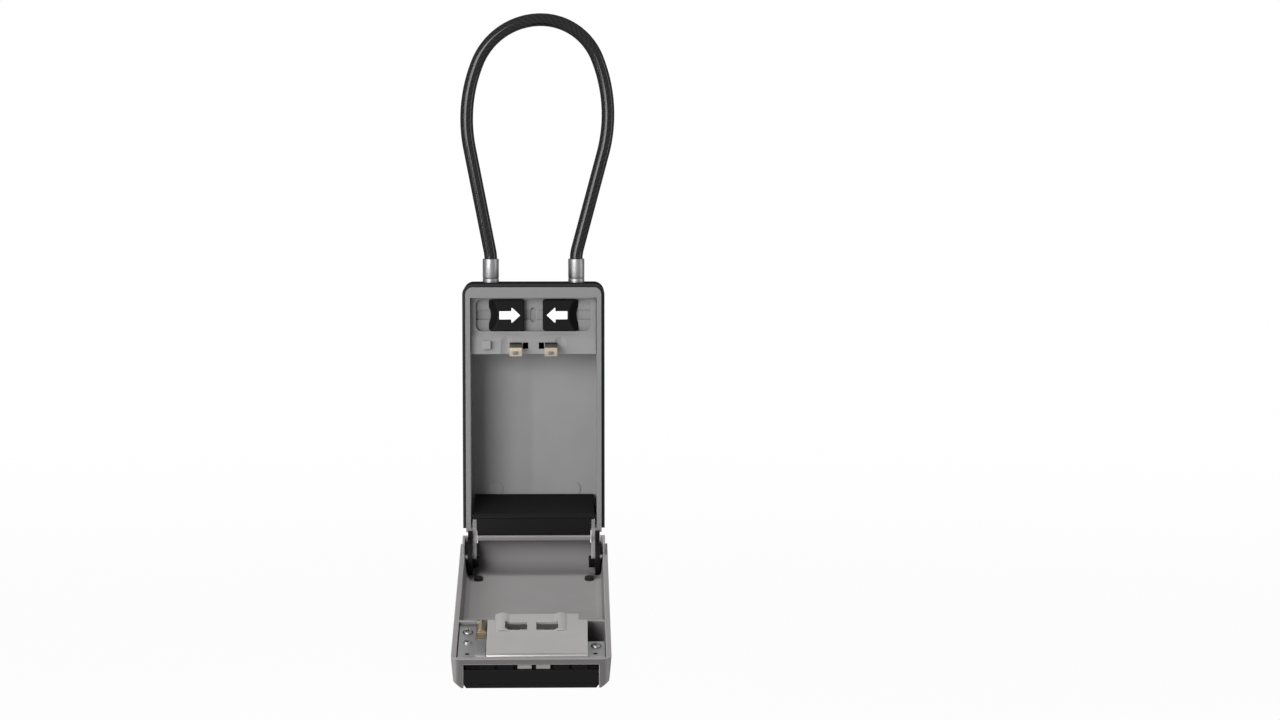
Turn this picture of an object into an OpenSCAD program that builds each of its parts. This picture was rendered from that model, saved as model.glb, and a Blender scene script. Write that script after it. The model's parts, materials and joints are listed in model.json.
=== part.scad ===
// Portable key lock box with a cable shackle.
// A flat-backed housing in a soft jacket hangs by a coated cable loop. Its front is a tray-shaped door that
// swings down on two arms and carries the number dials, the latch and a sliding dial shutter.
// Millimetres. +Z is up and -Y is the front. The origin is the middle of the jacket's flat back face.
// The door is drawn resting open on its stop. Its pieces are shaped as if it were shut, then swung open.

/* [Housing] */
// Width over the jacket
house_w = 80; // [77:1:88]
// Height over the jacket
house_h = 140; // [132:1:160]
// Depth from the back face to the rim
house_d = 34; // [32:1:42]
// Thickness of the soft jacket
jacket_t = 1.8; // [1.4:0.1:2.2]
// How far the jacket's front edge stands behind the rim
jacket_setback = 2.5; // [1.5:0.5:5]
// How far the jacket stops above the housing's bottom
jacket_short = 2; // [1:0.5:6]
// Radius of the jacket's upper corners
corner_r = 5.8; // [4:0.2:8]
// Side wall of the housing
side_wall = 2.7; // [2:0.1:3]
// Height of the rim above the housing's mouth
top_rim = 5.8; // [5:0.1:7]
// Back wall of the housing
back_wall = 2; // [1.6:0.1:3]
// Floor of the housing
floor_wall = 2; // [1.6:0.1:2.6]
// Radius of the round pads on the back wall
pad_r = 4.2; // [3:0.2:5]
// Height of the round pads
pad_rise = 0.5; // [0.3:0.1:0.8]

/* [Release panel] */
// Step of the ledge in front of the panel's face
ledge_step = 1.5; // [1.5:0.1:2]
// Depth of the finger pocket
pocket_d = 3; // [2.5:0.1:3.5]
// Side of the panel beside the finger pocket
pocket_side = 2.6; // [2.6:0.1:4]
// Height of the finger pocket
pocket_h = 18.2; // [17:0.2:18.6]
// Height of the pocket's middle below the housing's top
pocket_drop = 17.7; // [17.5:0.1:18]
// Wall of the panel
panel_wall = 2.5; // [2:0.1:2.8]
// Height of the panel's bottom edge below the housing's top
panel_drop = 39.6; // [39:0.2:42]
// Height of the slope's foot below the housing's top
ledge_drop = 32; // [31.6:0.2:32.4]
// Height of the slope above the ledge
ledge_slope = 3.8; // [3:0.2:4]
// Side of the square boss on the ledge
boss_side = 4.5; // [3.5:0.1:5]
// How far the boss stands out of the ledge
boss_rise = 3; // [1:0.1:3.2]

/* [Release sliders] */
// Width of a slider
slider_w = 20; // [18:0.2:21]
// Distance from the middle to a slider's inner end
slider_in = 5.2; // [4.8:0.1:6]
// How far a slider moves toward the middle
slider_travel = 4; // [3.6:0.1:4]
// How far a slider stands in front of the panel's face
slider_proud = 1.4; // [1:0.1:1.4]
// Radius of the finger scoop
scoop_r = 16.2; // [15:0.2:17]
// Length of an arrow
arrow_len = 11.8; // [10:0.1:12.4]
// Height of an arrow's head
arrow_h = 9.2; // [7:0.1:10]

/* [Shackle] */
// Distance from the housing's side to a ferrule's middle
ferrule_side = 15.8; // [15.2:0.1:16.4]
// Radius of a ferrule's sleeve
sleeve_r = 4.6; // [4.5:0.1:5]
// Height of a ferrule's sleeve above the housing
sleeve_h = 13.7; // [12:0.1:20]
// Radius of a ferrule's stem
stem_r = 4; // [3.8:0.1:4.1]
// Radius of the neck that the lock plate holds
neck_r = 2.75; // [2.4:0.05:2.9]
// Radius of the coated cable
cable_r = 3.6; // [3:0.1:3.7]
// Height of the loop above the ferrules
loop_h = 134.5; // [120:0.5:150]
// Lean of the loop's left leg in degrees
lean_left = 11; // [8:0.5:13]
// Lean of the loop's right leg in degrees
lean_right = 15; // [8:0.5:16]
// Sideways shift of the loop's crown
crown_shift = 4.5; // [-2:0.5:5]
// Thickness of a lock plate
plate_t = 1.5; // [1.2:0.1:1.6]

/* [Strikes] */
// Width of a strike
strike_w = 7; // [6:0.1:7]
// Distance from the middle to a strike's inner edge
strike_in = 6.4; // [6.2:0.1:6.6]
// Thickness of a strike
strike_t = 1.5; // [1.2:0.1:1.6]
// Height of a strike's top below the housing's top
strike_drop = 33.1; // [33:0.1:33.3]
// Height of a strike's turned-down lip
lip_h = 4.8; // [4.4:0.1:5]

/* [Door] */
// How far the door's side stands out past the housing's side
door_lip = 1.5; // [1:0.1:2]
// Depth of the door from its rim to its front
door_t = 16.1; // [16:0.1:17]
// Gap between the door's rim and the housing's rim when shut
shut_gap = 0.3; // [0.2:0.05:0.5]
// Side wall of the door at its rim
door_wall = 2.7; // [2.2:0.1:2.8]
// Floor of the door's tray
door_floor = 2.4; // [2.2:0.1:2.5]
// How much narrower the door's side is at its front edge
door_draft = 1.2; // [0.8:0.1:1.4]
// Radius of the free end's corners
door_corner_r = 5; // [3:0.5:6]
// Length of the lock bay from the free end
bay_len = 51; // [50.4:0.2:53]
// Wall between the tray and the lock bay
bay_wall = 1.8; // [1.4:0.1:2.2]
// How far the door swings from shut to open
open_angle = 103; // [95:1:105]
// How far the hinge pin lies in front of the housing's rim
hinge_out = 4; // [3.6:0.1:4.4]
// Gap between the hinge barrel and the housing's floor
barrel_gap = 1.4; // [1:0.1:2]
// Wall of the hinge barrel
barrel_wall = 2.2; // [1.8:0.1:2.4]
// Radius of the hinge pin
pin_r = 2; // [1.6:0.1:2.2]
// Thickness of a hinge arm
arm_t = 2.2; // [2:0.1:2.8]
// Gap between a hinge arm and the side wall that it stands beside
arm_side = 1; // [0.6:0.1:1.4]
// Radius of a hinge arm's eye
eye_r = 5; // [4.4:0.1:5.2]

/* [Lock bay] */
// How far the lock cover stands out of the door's rim
cover_rise = 4.5; // [4:0.1:4.8]
// Thickness of the lock cover
cover_t = 1.5; // [1.2:0.1:1.6]
// Left edge of the lock cover from the middle
cover_left = 23.3; // [22.8:0.1:23.6]
// Right edge of the lock cover from the middle
cover_right = 29.3; // [29:0.1:30]
// Thickness of the chassis plate
chassis_t = 2; // [1.6:0.1:2.2]
// How far the chassis plate lies below the door's rim
chassis_in = 1.7; // [1.6:0.1:1.9]
// Thickness of the latch plate
latch_t = 1.6; // [1.4:0.1:1.6]
// How far the latch moves
latch_travel = 4.2; // [4:0.1:4.4]
// Radius of a number dial
dial_r = 6.3; // [6:0.1:6.3]
// Width of a number dial
dial_w = 6.6; // [5.6:0.1:6.8]
// Distance from one dial to the next
dial_pitch = 9.6; // [9.4:0.1:9.8]
// Radius of the dials' shaft
shaft_r = 1.5; // [1.2:0.1:1.8]
// Thickness of the shutter
shutter_t = 1.9; // [1.7:0.1:2]
// Length of the shutter
shutter_len = 47.4; // [46:0.2:47.4]
// How far the shutter slides
shutter_travel = 34; // [30:0.5:34]
// Side of the door beside the shutter
shutter_side = 6.5; // [6.5:0.1:6.9]
// How far the reset lever moves
reset_travel = 4; // [3:0.5:4]

/* [Clearances] */
// Gap round a sliding piece
slide_gap = 0.2; // [0.15:0.05:0.3]
// Gap round a piece that is dropped into place
fit_gap = 0.3; // [0.2:0.05:0.4]
// Radial gap of a turning fit
run_gap = 0.05; // [0.03:0.01:0.08]

/* [Output] */
// Piece to draw

/* [Hidden] */
$fn = 96;
over = 1;
dial_count = 4;
pad_side = 17.8;
pad_high = 21;
arm_setback = 1;
arm_strap = 6;
arm_high = 7;
arm_tail = 14;
arm_heel = 4;
arm_knee = 2;
hood_high = 18;
hood_low = 10.6;
hood_land = 2;
hood_nose = 3;
hood_round = 0.7;
roof_side = 1.5;
lip_gap = 0.5;
lip_t = 1.5;
lip_end = 45;
top = house_h / 2;
bottom = -house_h / 2;

// Housing
rim_y = -house_d;
shell_half = house_w / 2 - jacket_t;
shell_top = top - jacket_t;
shell_back = -jacket_t;
shell_r = corner_r - jacket_t;
mouth_half = shell_half - side_wall;
mouth_top = shell_top - top_rim;
mouth_back = shell_back - back_wall;
mouth_floor = bottom + floor_wall;
pad_x = house_w / 2 - pad_side;
pad_z = bottom + pad_high;

// Hinge, in the housing's frame
door_y = rim_y - shut_gap;
front_y = door_y - door_t;
hinge_y = rim_y - hinge_out;
barrel_r = hinge_y - front_y;
hinge_z = bottom - barrel_gap - barrel_r;
arm_out = mouth_half - arm_side;
arm_in = arm_out - arm_t;
ear_gap = 1.8;
ear_in = mouth_half + ear_gap;
ear_out = house_w / 2;
arm_front = rim_y + arm_setback;
arm_back = arm_front + arm_strap;
arm_top = bottom + arm_high;
arm_end = arm_back + arm_tail;
skirt_t = 2;
cover_side = arm_in - fit_gap;
horn = 0.8;
roof_half = mouth_half - roof_side;
lip_in = barrel_r + lip_gap;
lip_out = lip_in + lip_t;
hood_back = mouth_back - pad_rise - slide_gap;

// Release panel
ledge_y = rim_y + cover_rise + 0.5;
ledge_back = ledge_y + panel_wall;
face_y = ledge_y + ledge_step;
pocket_y = face_y + pocket_d;
panel_back = pocket_y + panel_wall;
panel_half = mouth_half - fit_gap;
panel_top = mouth_top;
panel_low = top - panel_drop;
pocket_z = top - pocket_drop;
pocket_w = 2 * (panel_half - pocket_side);
pocket_r = 3.6;
ledge_z = top - ledge_drop;
slope_z = ledge_z + ledge_slope;
shelf_t = 2;
groove_h = 5.6;
groove_d = 1.1;
window_d = groove_d + 0.5;
guide_x = 15.2;
guide_half = 3.3;
guide_rise = 1.1;
guide_r = (guide_half * guide_half + guide_rise * guide_rise) / (2 * guide_rise);
guide_y = ledge_y - 0.5 + guide_rise - guide_r;

// Sliders
arrow_x = slider_in + 2.2 + arrow_len / 2;
arrow_head = 5;
arrow_d = 0.4;

// Shackle
ferrule_x = house_w / 2 - ferrule_side;
ferrule_y = rim_y / 2;
plate_z = pocket_z - 2.3;
neck_gap = 0.25;
neck_low = plate_z - neck_gap;
neck_high = plate_z + plate_t + neck_gap;
stem_low = neck_low - 3;
sleeve_top = top + sleeve_h;
cable_seat = 6;
plate_half = 6;
plate_front = panel_back + fit_gap;
tongue_in = ferrule_x - 12.2;
plate_in = tongue_in - 1;
plate_out = ferrule_x + slider_travel + stem_r + 1.8;
tongue_w = 7.5;
coil_turns = 6;
coil_steps = 14;
coil_sides = 8;
coil_r = 1.9;
wire_r = 0.3;
post_half = 1.5;
post_back = ferrule_y + 8;

// Loop of the cable: on each side a short bend, a straight leg, a long side bend and a shoulder bend
foot_bend = 22;
side_bend = 85;
shoulder_angle = 22;
cable_sides = 16;

// Strikes
strike_top = top - strike_drop;
strike_slope = 2.3;
latch_y = door_y - chassis_in + 0.1 + latch_t;
lip_back = latch_y - latch_t - fit_gap;
lip_front = lip_back - strike_t;
lip_top = strike_top - strike_slope;
lip_low = lip_top - lip_h;
strike_root = ferrule_y + 3;
lip_side = 1.9;
lip_foot = 0.9;

// Door
door_half = house_w / 2 + door_lip;
door_end = top;
tray_y = front_y + door_floor;
edge_chamfer = 3.2;
edge_slant = 4.2;
inner_half = door_half - door_wall;
bay_low = door_end - bay_len;
end_wall = 2.7;
bay_high = door_end - end_wall;
lintel_y = door_y - 3.1;
barrel_in_r = barrel_r - barrel_wall;
track_y = front_y + shutter_t + slide_gap;
shutter_half = door_half - shutter_side;
dovetail = 1.4;
grip_count = 4;
grip_pitch = 2.2;
grip_half = 22;
grip_h = 1;
grip_d = 0.6;
track_len = shutter_len + shutter_travel + 1.1;
track_low = door_end - track_len;
track_wall = 2;
raised_y = track_y + 2.1;

// Lock bay
cover_y = rim_y + cover_rise;
cover_low = bay_low + 1.5;
cover_high = bay_high - fit_gap;
cover_fall = (cover_y - door_y) / (mouth_top - cover_low);
leg_t = 1.4;
edge_in = 0.5;
guide_len = 18.5;
cover_lip = 2.8;
lip_rise = 0.6;
cover_roll = cover_high - cover_lip;
notch_left = 4;
notch_right = 4.8;
notch_h = 6.5;
chassis_y = door_y - chassis_in;
case_y = chassis_y - chassis_t;
case_half = shutter_half - fit_gap;
case_low = door_end - shutter_len - fit_gap;
case_high = door_end - fit_gap;
case_front = track_y + 1.3;
case_end_y = lintel_y - 3.1;
dial_y = front_y + shutter_t + fit_gap + dial_r;
dial_z = door_end - 19;
dial_left = -18.6;
notch_r = 0.9;
collar_w = 1.8;
collar_r = 3.6;
flange = 1.2;
flange_rise = 0.8;
flange_t = 2;
end_ridge = 2;
cell_half = dial_r + 0.8;
cell_left = dial_left - dial_w / 2 - 1.6;
cell_right = dial_left + (dial_count - 1) * dial_pitch + dial_w / 2 + collar_w + 1;
cell_floor = front_y + shutter_t + 2.7;
dial_slot = 5.6;
foot_side = 2.5;
foot_w = 4.2;
shaft_left = cell_left - 5;
shaft_right = cell_right + 3;
post_w = 7.3;
post_pitch = 9.6;
post_first = -22.6;
post_count = 6;
post_gap = 0.9;
post_in = 1.4;
saddle_posts = [2, 3];
latch_high = lip_low + 3.4;
latch_bar_high = lip_low + 0.2;
latch_low = bay_low + latch_travel + 1.3;
latch_arm_x = 20.4;
latch_arm_w = 5.4;
bar_end = 2;
knob_low = door_end - 27;
knob_h = 14;
knob_w = 8.2;
knob_x = latch_arm_x + latch_arm_w / 2;
knob_y = front_y + shutter_t + fit_gap;
knob_t = 3.4;
stem_w = 4.8;
stem_h = 4;
stem_z = knob_low + 1;
chassis_half = inner_half - 0.6;
screw_left_z = door_end - 40;
screw_right_z = door_end - 21;
screw_head_r = 2.4;
screw_head_t = 1.5;
screw_r = 1.1;
screw_len = 5;
cross_half = 1.6;
cross_w = 0.6;
cross_d = 0.8;
peg_r = 1.2;
peg_x = case_half - peg_r - fit_gap;
peg_z = door_end - 11;
reset_w = 5.4;
reset_x = cover_left + 0.4 + reset_w / 2;
reset_y = door_y + 0.1;
reset_low = bay_low - bay_wall + 0.3;
reset_len = 18;
lug_half = 1;
lug_d = 1.2;
lug_low = reset_low + reset_len - 3;
plate_hole_r = 1.5;
plate_hole_z = screw_left_z + 13.2;
screw_left_x = (chassis_half + reset_x + reset_w / 2) / 2;
screw_right_x = (chassis_half + cover_right) / 2;
slot_low = lip_low - 0.6;
slot_high = strike_top + 0.7;
slot_in = 2.4;
slot_out = strike_in + strike_w + 0.6;

grey = [0.56, 0.56, 0.57];
door_grey = [0.62, 0.61, 0.61];
black = [0.07, 0.07, 0.08];
steel = [0.72, 0.71, 0.69];
nickel = [0.78, 0.73, 0.63];
zinc = [0.66, 0.66, 0.67];
brass = [0.72, 0.62, 0.42];
white = [0.93, 0.93, 0.91];

// ---- Shared shapes -------------------------------------------------------------------------------------

// A flat shape in X and Z, given depth from y_front back to y_back
module slab_xz(y_front, y_back) {
    translate([0, y_back, 0]) rotate([90, 0, 0]) linear_extrude(y_back - y_front) children();
}

// A flat shape in Y and Z, given width from x_low to x_high
module slab_yz(x_low, x_high) {
    translate([x_low, 0, 0]) rotate([90, 0, 90]) linear_extrude(x_high - x_low) children();
}

// A flat shape in X and Y, given height from z_low to z_high
module slab_xy(z_low, z_high) {
    translate([0, 0, z_low]) linear_extrude(z_high - z_low) children();
}

// A box between two opposite corners
module block(low, high) {
    translate(low) cube(high - low);
}

// A rectangle between two corners whose two upper corners are round
module arched(x_half, low, high, r) {
    translate([-x_half, low]) square([2 * x_half, high - low - r]);
    translate([-x_half + r, low]) square([2 * (x_half - r), high - low]);
    for (side = [-1, 1]) {
        translate([side * (x_half - r), high - r]) circle(r);
    }
}

// A rectangle of a given size whose four corners are round
module rounded(w, h, r) {
    square([w - 2 * r, h], center = true);
    square([w, h - 2 * r], center = true);
    for (x = [-1, 1], z = [-1, 1]) {
        translate([x * (w / 2 - r), z * (h / 2 - r)]) circle(r);
    }
}

// A round bar along X
module bar_x(x_low, x_high, y, z, r) {
    translate([x_low, y, z]) rotate([0, 90, 0]) cylinder(h = x_high - x_low, r = r);
}

// A round bar along Y
module bar_y(x, z, y_low, y_high, r) {
    translate([x, y_low, z]) rotate([-90, 0, 0]) cylinder(h = y_high - y_low, r = r);
}

// Two copies, one on each side of the middle
module both_sides() {
    children();
    mirror([1, 0, 0]) children();
}

// A piece on one side: -1 is left as drawn mirrored, 1 is right as drawn
module on_side(side) {
    if (side > 0) {
        children();
    } else {
        mirror([1, 0, 0]) children();
    }
}

// Swings a piece of the shut door to where the open door rests
module opened() {
    translate([0, hinge_y, hinge_z]) rotate([open_angle, 0, 0]) translate([0, -hinge_y, -hinge_z]) children();
}

// ---- Housing -------------------------------------------------------------------------------------------

module jacket() {
    color(black) difference() {
        slab_xz(rim_y + jacket_setback, 0) arched(house_w / 2, bottom + jacket_short, top, corner_r);
        slab_xz(rim_y, shell_back) arched(shell_half, bottom, shell_top, shell_r);
        both_sides() translate([ferrule_x, ferrule_y, shell_top - over])
            cylinder(h = 2 * jacket_t + over, r = stem_r + slide_gap);
    }
}

module housing_shell() {
    color(grey) {
        difference() {
            slab_xz(rim_y, shell_back) arched(shell_half, bottom, shell_top, shell_r);
            block([-mouth_half, rim_y - over, mouth_floor], [mouth_half, mouth_back, mouth_top]);
            both_sides() {
                translate([ferrule_x, ferrule_y, mouth_top - over])
                    cylinder(h = top_rim + 2 * over, r = stem_r + slide_gap);
                block(
                    [arm_in - fit_gap, rim_y - over, bottom - over],
                    [arm_out, arm_back + fit_gap, mouth_floor + over]
                );
            }
            block(
                [-cover_side - fit_gap, rim_y - over, bottom - over],
                [cover_side + fit_gap, rim_y + skirt_t, mouth_floor + over]
            );
        }
        both_sides() bar_y(pad_x, pad_z, mouth_back - pad_rise, mouth_back, pad_r);
    }
}

// Side view of the panel's front wall, ledge and lower shelf
module panel_side() {
    polygon([
        [face_y, panel_top], [face_y, slope_z], [ledge_y, ledge_z], [ledge_y, panel_low],
        [mouth_back, panel_low], [mouth_back, panel_low + shelf_t], [ledge_back, panel_low + shelf_t],
        [ledge_back, ledge_z], [panel_back, slope_z], [panel_back, panel_top]
    ]);
}

module release_panel() {
    color(grey) difference() {
        union() {
            slab_yz(-panel_half, panel_half) panel_side();
            block([-post_half, ledge_back, panel_low + shelf_t], [post_half, post_back, pocket_z]);
            block([-post_half, panel_back - over, pocket_z - over], [post_half, post_back, panel_top]);
            both_sides() block(
                [strike_in, ledge_back, panel_low + shelf_t],
                [strike_in + strike_w, strike_root, strike_top - strike_t]
            );
            block(
                [-reset_x - boss_side / 2, ledge_y - boss_rise, ledge_z - boss_side],
                [-reset_x + boss_side / 2, ledge_y, ledge_z]
            );
        }
        translate([0, 0, pocket_z]) slab_xz(face_y - over, pocket_y) rounded(pocket_w, pocket_h, pocket_r);
        block(
            [-pocket_w / 2, pocket_y - over, pocket_z - groove_h / 2],
            [pocket_w / 2, pocket_y + groove_d, pocket_z + groove_h / 2]
        );
        translate([0, 0, pocket_z]) slab_xz(pocket_y - over, pocket_y + window_d) rounded(3.4, 8.2, 1.69);
        both_sides() {
            block(
                [tongue_in - slider_travel - slide_gap, pocket_y - over, pocket_z - groove_h / 2],
                [tongue_in + tongue_w + slide_gap, panel_back + over, pocket_z + groove_h / 2]
            );
            block(
                [strike_in - 3.4, ledge_y - over, strike_top - 3.6],
                [strike_in - 0.4, ledge_back + over, strike_top]
            );
            strike_gate();
            translate([guide_x, guide_y, panel_low - over])
                cylinder(h = ledge_z - panel_low + 3, r = guide_r + 0.4);
        }
    }
}

// The opening in the ledge that a strike passes through
module strike_gate() {
    block(
        [strike_in, ledge_y - over, strike_top - strike_t - strike_slope / 4],
        [strike_in + strike_w, ledge_back + over, strike_top]
    );
}

// ---- Release sliders and shackle lock ------------------------------------------------------------------

module slider(side) {
    front = face_y - slider_proud;
    outer = slider_in + slider_w;
    color(black) on_side(side) difference() {
        union() {
            block(
                [slider_in, front, pocket_z - pocket_h / 2 + slide_gap],
                [outer, pocket_y - slide_gap, pocket_z + pocket_h / 2 - slide_gap]
            );
            block(
                [tongue_in, pocket_y - over, plate_z + plate_t],
                [tongue_in + tongue_w, ferrule_y + 1, pocket_z + groove_h / 2 - slide_gap]
            );
        }
        translate([outer + 8.3, front - 9, pocket_z]) sphere(r = scoop_r);
        translate([arrow_x, 0, pocket_z]) slab_xz(front - over, front + arrow_d) arrow_shape();
    }
}

// An arrow that points to the left, about its own middle
module arrow_shape() {
    polygon([
        [-arrow_len / 2, 0], [-arrow_len / 2 + arrow_head, arrow_h / 2],
        [-arrow_len / 2 + arrow_head, arrow_h / 4],
        [arrow_len / 2, arrow_h / 4], [arrow_len / 2, -arrow_h / 4],
        [-arrow_len / 2 + arrow_head, -arrow_h / 4],
        [-arrow_len / 2 + arrow_head, -arrow_h / 2]
    ]);
}

module arrow(side) {
    front = face_y - slider_proud;
    color(white) on_side(side) translate([arrow_x, 0, pocket_z]) slab_xz(front, front + arrow_d) arrow_shape();
}

module lock_plate(side) {
    color(steel) on_side(side) slab_xy(plate_z, plate_z + plate_t) difference() {
        translate([plate_in, plate_front]) square([plate_out - plate_in, ferrule_y + plate_half - plate_front]);
        translate([ferrule_x, ferrule_y]) circle(neck_r + slide_gap);
        translate([ferrule_x, ferrule_y - neck_r - slide_gap])
            square([slider_travel, 2 * (neck_r + slide_gap)]);
        translate([ferrule_x + slider_travel, ferrule_y]) circle(stem_r + fit_gap);
    }
}

// Points of a coil spring along X: rings of points round a helix
function coil_ring(i, len) =
    let (a = 360 * i / coil_steps, x = wire_r + (len - 2 * wire_r) * i / (coil_turns * coil_steps))
    [for (k = [0 : coil_sides - 1]) let (b = 360 * k / coil_sides, r = coil_r + wire_r * cos(b))
        [x + wire_r * sin(b), r * cos(a), r * sin(a)]];
function coil_points(len) = [for (i = [0 : coil_turns * coil_steps]) each coil_ring(i, len)];

module slider_spring(side) {
    color(steel) on_side(side) translate([post_half, ferrule_y, plate_z + plate_t / 2])
        polyhedron(
            points = coil_points(plate_in - post_half),
            faces = tube_faces(coil_turns * coil_steps + 1, coil_sides)
        );
}

module ferrule(side) {
    color(steel) on_side(side) translate([ferrule_x, ferrule_y, 0]) rotate_extrude() polygon([
        [0, stem_low], [stem_r - 0.8, stem_low], [stem_r, stem_low + 0.8], [stem_r, neck_low],
        [neck_r, neck_low], [neck_r, neck_high], [stem_r, neck_high],
        [stem_r, top], [sleeve_r, top], [sleeve_r, sleeve_top - 0.6],
        [sleeve_r - 0.5, sleeve_top], [cable_r, sleeve_top], [cable_r, sleeve_top - cable_seat],
        [0, sleeve_top - cable_seat]
    ]);
}

// One side of the loop, from the ferrule up and over to the crown. The leg's length and the shoulder's radius
// follow from the loop's height and the crown's place.
function leg_rise(lean) = loop_h - foot_bend * sin(lean) - side_bend * (sin(shoulder_angle) + sin(lean));
function leg_reach(lean, crown) =
    crown + ferrule_x + foot_bend * (1 - cos(lean)) - side_bend * (cos(lean) - cos(shoulder_angle));
function leg_len(lean, crown) =
    let (u = 1 - sin(shoulder_angle), v = cos(shoulder_angle))
    (leg_rise(lean) * v - leg_reach(lean, crown) * u) / (cos(lean) * v + sin(lean) * u);
function shoulder_bend(lean, crown) =
    (leg_reach(lean, crown) + leg_len(lean, crown) * sin(lean)) / cos(shoulder_angle);

// Stations along one side of the loop as [x, z, heading]. The heading is counted from straight up toward +X.
function loop_side(lean, crown) =
    let (
        leg = leg_len(lean, crown), shoulder = shoulder_bend(lean, crown),
        foot_x = -ferrule_x - foot_bend * (1 - cos(lean)), foot_z = sleeve_top + foot_bend * sin(lean),
        leg_x = foot_x - leg * sin(lean), leg_z = foot_z + leg * cos(lean),
        side_x = leg_x + side_bend * (cos(lean) - cos(shoulder_angle)),
        side_z = leg_z + side_bend * (sin(lean) + sin(shoulder_angle))
    )
    [
        [-ferrule_x, sleeve_top - cable_seat, 0],
        for (i = [0 : 3]) let (h = lean * i / 3)
            [-ferrule_x - foot_bend * (1 - cos(h)), sleeve_top + foot_bend * sin(h), -h],
        for (i = [0 : 12]) let (h = -lean + (lean + shoulder_angle) * i / 12)
            [leg_x + side_bend * (cos(lean) - cos(h)), leg_z + side_bend * (sin(lean) + sin(h)), h],
        for (i = [1 : 14]) let (h = shoulder_angle + (90 - shoulder_angle) * i / 14)
            [
                side_x + shoulder * (cos(shoulder_angle) - cos(h)),
                side_z + shoulder * (sin(h) - sin(shoulder_angle)),
                h
            ]
    ];

// The whole loop: up the left side, over the crown and down the right side
function loop_stations() =
    let (right = loop_side(lean_right, -crown_shift), n = len(right))
    concat(
        loop_side(lean_left, crown_shift),
        [for (i = [n - 2 : -1 : 0]) [-right[i][0], right[i][1], 180 - right[i][2]]]
    );

function loop_ring(s) =
    [for (k = [0 : cable_sides - 1]) let (b = 360 * k / cable_sides, r = cable_r * cos(b))
        [s[0] + r * cos(s[2]), ferrule_y + cable_r * sin(b), s[1] - r * sin(s[2])]];

// Faces of a tube through a number of rings that each have the same number of points
function tube_faces(rings, sides) = [
    [for (k = [0 : sides - 1]) k],
    for (i = [0 : rings - 2], k = [0 : sides - 1])
        let (n = (k + 1) % sides, a = i * sides)
        [a + k, a + sides + k, a + sides + n, a + n],
    [for (k = [sides - 1 : -1 : 0]) (rings - 1) * sides + k]
];

module cable() {
    stations = loop_stations();
    color(black) polyhedron(
        points = [for (s = stations) each loop_ring(s)],
        faces = tube_faces(len(stations), cable_sides)
    );
}

// ---- Strikes -------------------------------------------------------------------------------------------

module strike(side) {
    color(nickel) on_side(side) difference() {
        slab_yz(strike_in, strike_in + strike_w) polygon([
            [strike_root, strike_top], [ledge_back, strike_top], [ledge_y, strike_top - strike_slope / 4],
            [lip_front, lip_top], [lip_front, lip_low], [lip_back, lip_low],
            [lip_back, lip_top - strike_t + 0.4],
            [ledge_y, strike_top - strike_t - strike_slope / 4], [ledge_back, strike_top - strike_t],
            [strike_root, strike_top - strike_t]
        ]);
        block(
            [strike_in + lip_side, lip_front - over, lip_low + lip_foot],
            [strike_in + strike_w - lip_side, lip_back + over, lip_low + lip_h - lip_foot - 1.2]
        );
    }
}

// ---- Hinge ---------------------------------------------------------------------------------------------

// A hinge arm before its bore: a foot on the housing's floor, a leaning leg and a round eye
module arm_solid() {
    slab_yz(arm_in, arm_out) polygon([
        [arm_front, arm_top], [arm_end, arm_top], [arm_end, mouth_floor], [arm_back, mouth_floor],
        [arm_back, bottom],
        [hinge_y + 0.8 * eye_r * cos(35), hinge_z - 0.8 * eye_r * sin(35)],
        [hinge_y - 0.8 * eye_r * cos(20), hinge_z + 0.8 * eye_r * sin(20)],
        [arm_front, bottom + arm_knee]
    ]);
    bar_x(arm_in, arm_out, hinge_y, hinge_z, eye_r);
    block([arm_in, arm_end - arm_heel, mouth_floor], [mouth_half, arm_end, arm_top]);
}

module hinge_arm(side) {
    color(door_grey) on_side(side) difference() {
        arm_solid();
        bar_x(arm_in - over, arm_out + over, hinge_y, hinge_z, pin_r + run_gap);
    }
}

// A bush: a round cheek with a horn between the arm and the door, and a half collar under the arm's eye
module hinge_bush(side) {
    color(black) on_side(side) difference() {
        union() {
            bar_x(arm_out, ear_in - slide_gap, hinge_y, hinge_z, barrel_in_r - fit_gap);
            block([arm_out, hinge_y + slide_gap, hinge_z], [ear_in - slide_gap, rim_y - slide_gap, bottom + horn]);
            intersection() {
                bar_x(arm_in - 1.4, ear_in - slide_gap, hinge_y, hinge_z, eye_r + 0.8);
                block([0, hinge_y - barrel_r, hinge_z - barrel_r], [ear_in, hinge_y + barrel_r, hinge_z]);
            }
        }
        arm_solid();
        bar_x(arm_in - slide_gap, ear_in, hinge_y, hinge_z, pin_r + run_gap);
    }
}

module hinge_pin(side) {
    color(steel) on_side(side) opened() bar_x(arm_in, ear_out, hinge_y, hinge_z, pin_r);
}

// The hood: a sloping roof with a round nose, and a skirt whose lip curls over the door's barrel
module hinge_cover() {
    top_back = bottom + hood_high;
    top_front = bottom + hood_low;
    nose = top_front - hood_nose;
    color(black) {
        slab_yz(-roof_half, roof_half) polygon([
            [hood_back, top_back], [hood_back - hood_land, top_back], [rim_y + hood_nose, top_front],
            [rim_y + hood_round, top_front - hood_round], [rim_y, nose], [rim_y + skirt_t, nose],
            [rim_y + hood_nose + hood_round, top_front - skirt_t],
            [hood_back - hood_land - hood_round, top_back - skirt_t], [hood_back, top_back - skirt_t]
        ]);
        slab_yz(-cover_side, cover_side) {
            polygon([
                [rim_y, nose + hood_round], each lip_arc(lip_in, acos(hinge_out / lip_in), lip_end),
                each lip_arc(lip_out, lip_end, acos((hinge_out + skirt_t) / lip_out)),
                [rim_y + skirt_t, nose + hood_round]
            ]);
        }
    }
}

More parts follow.
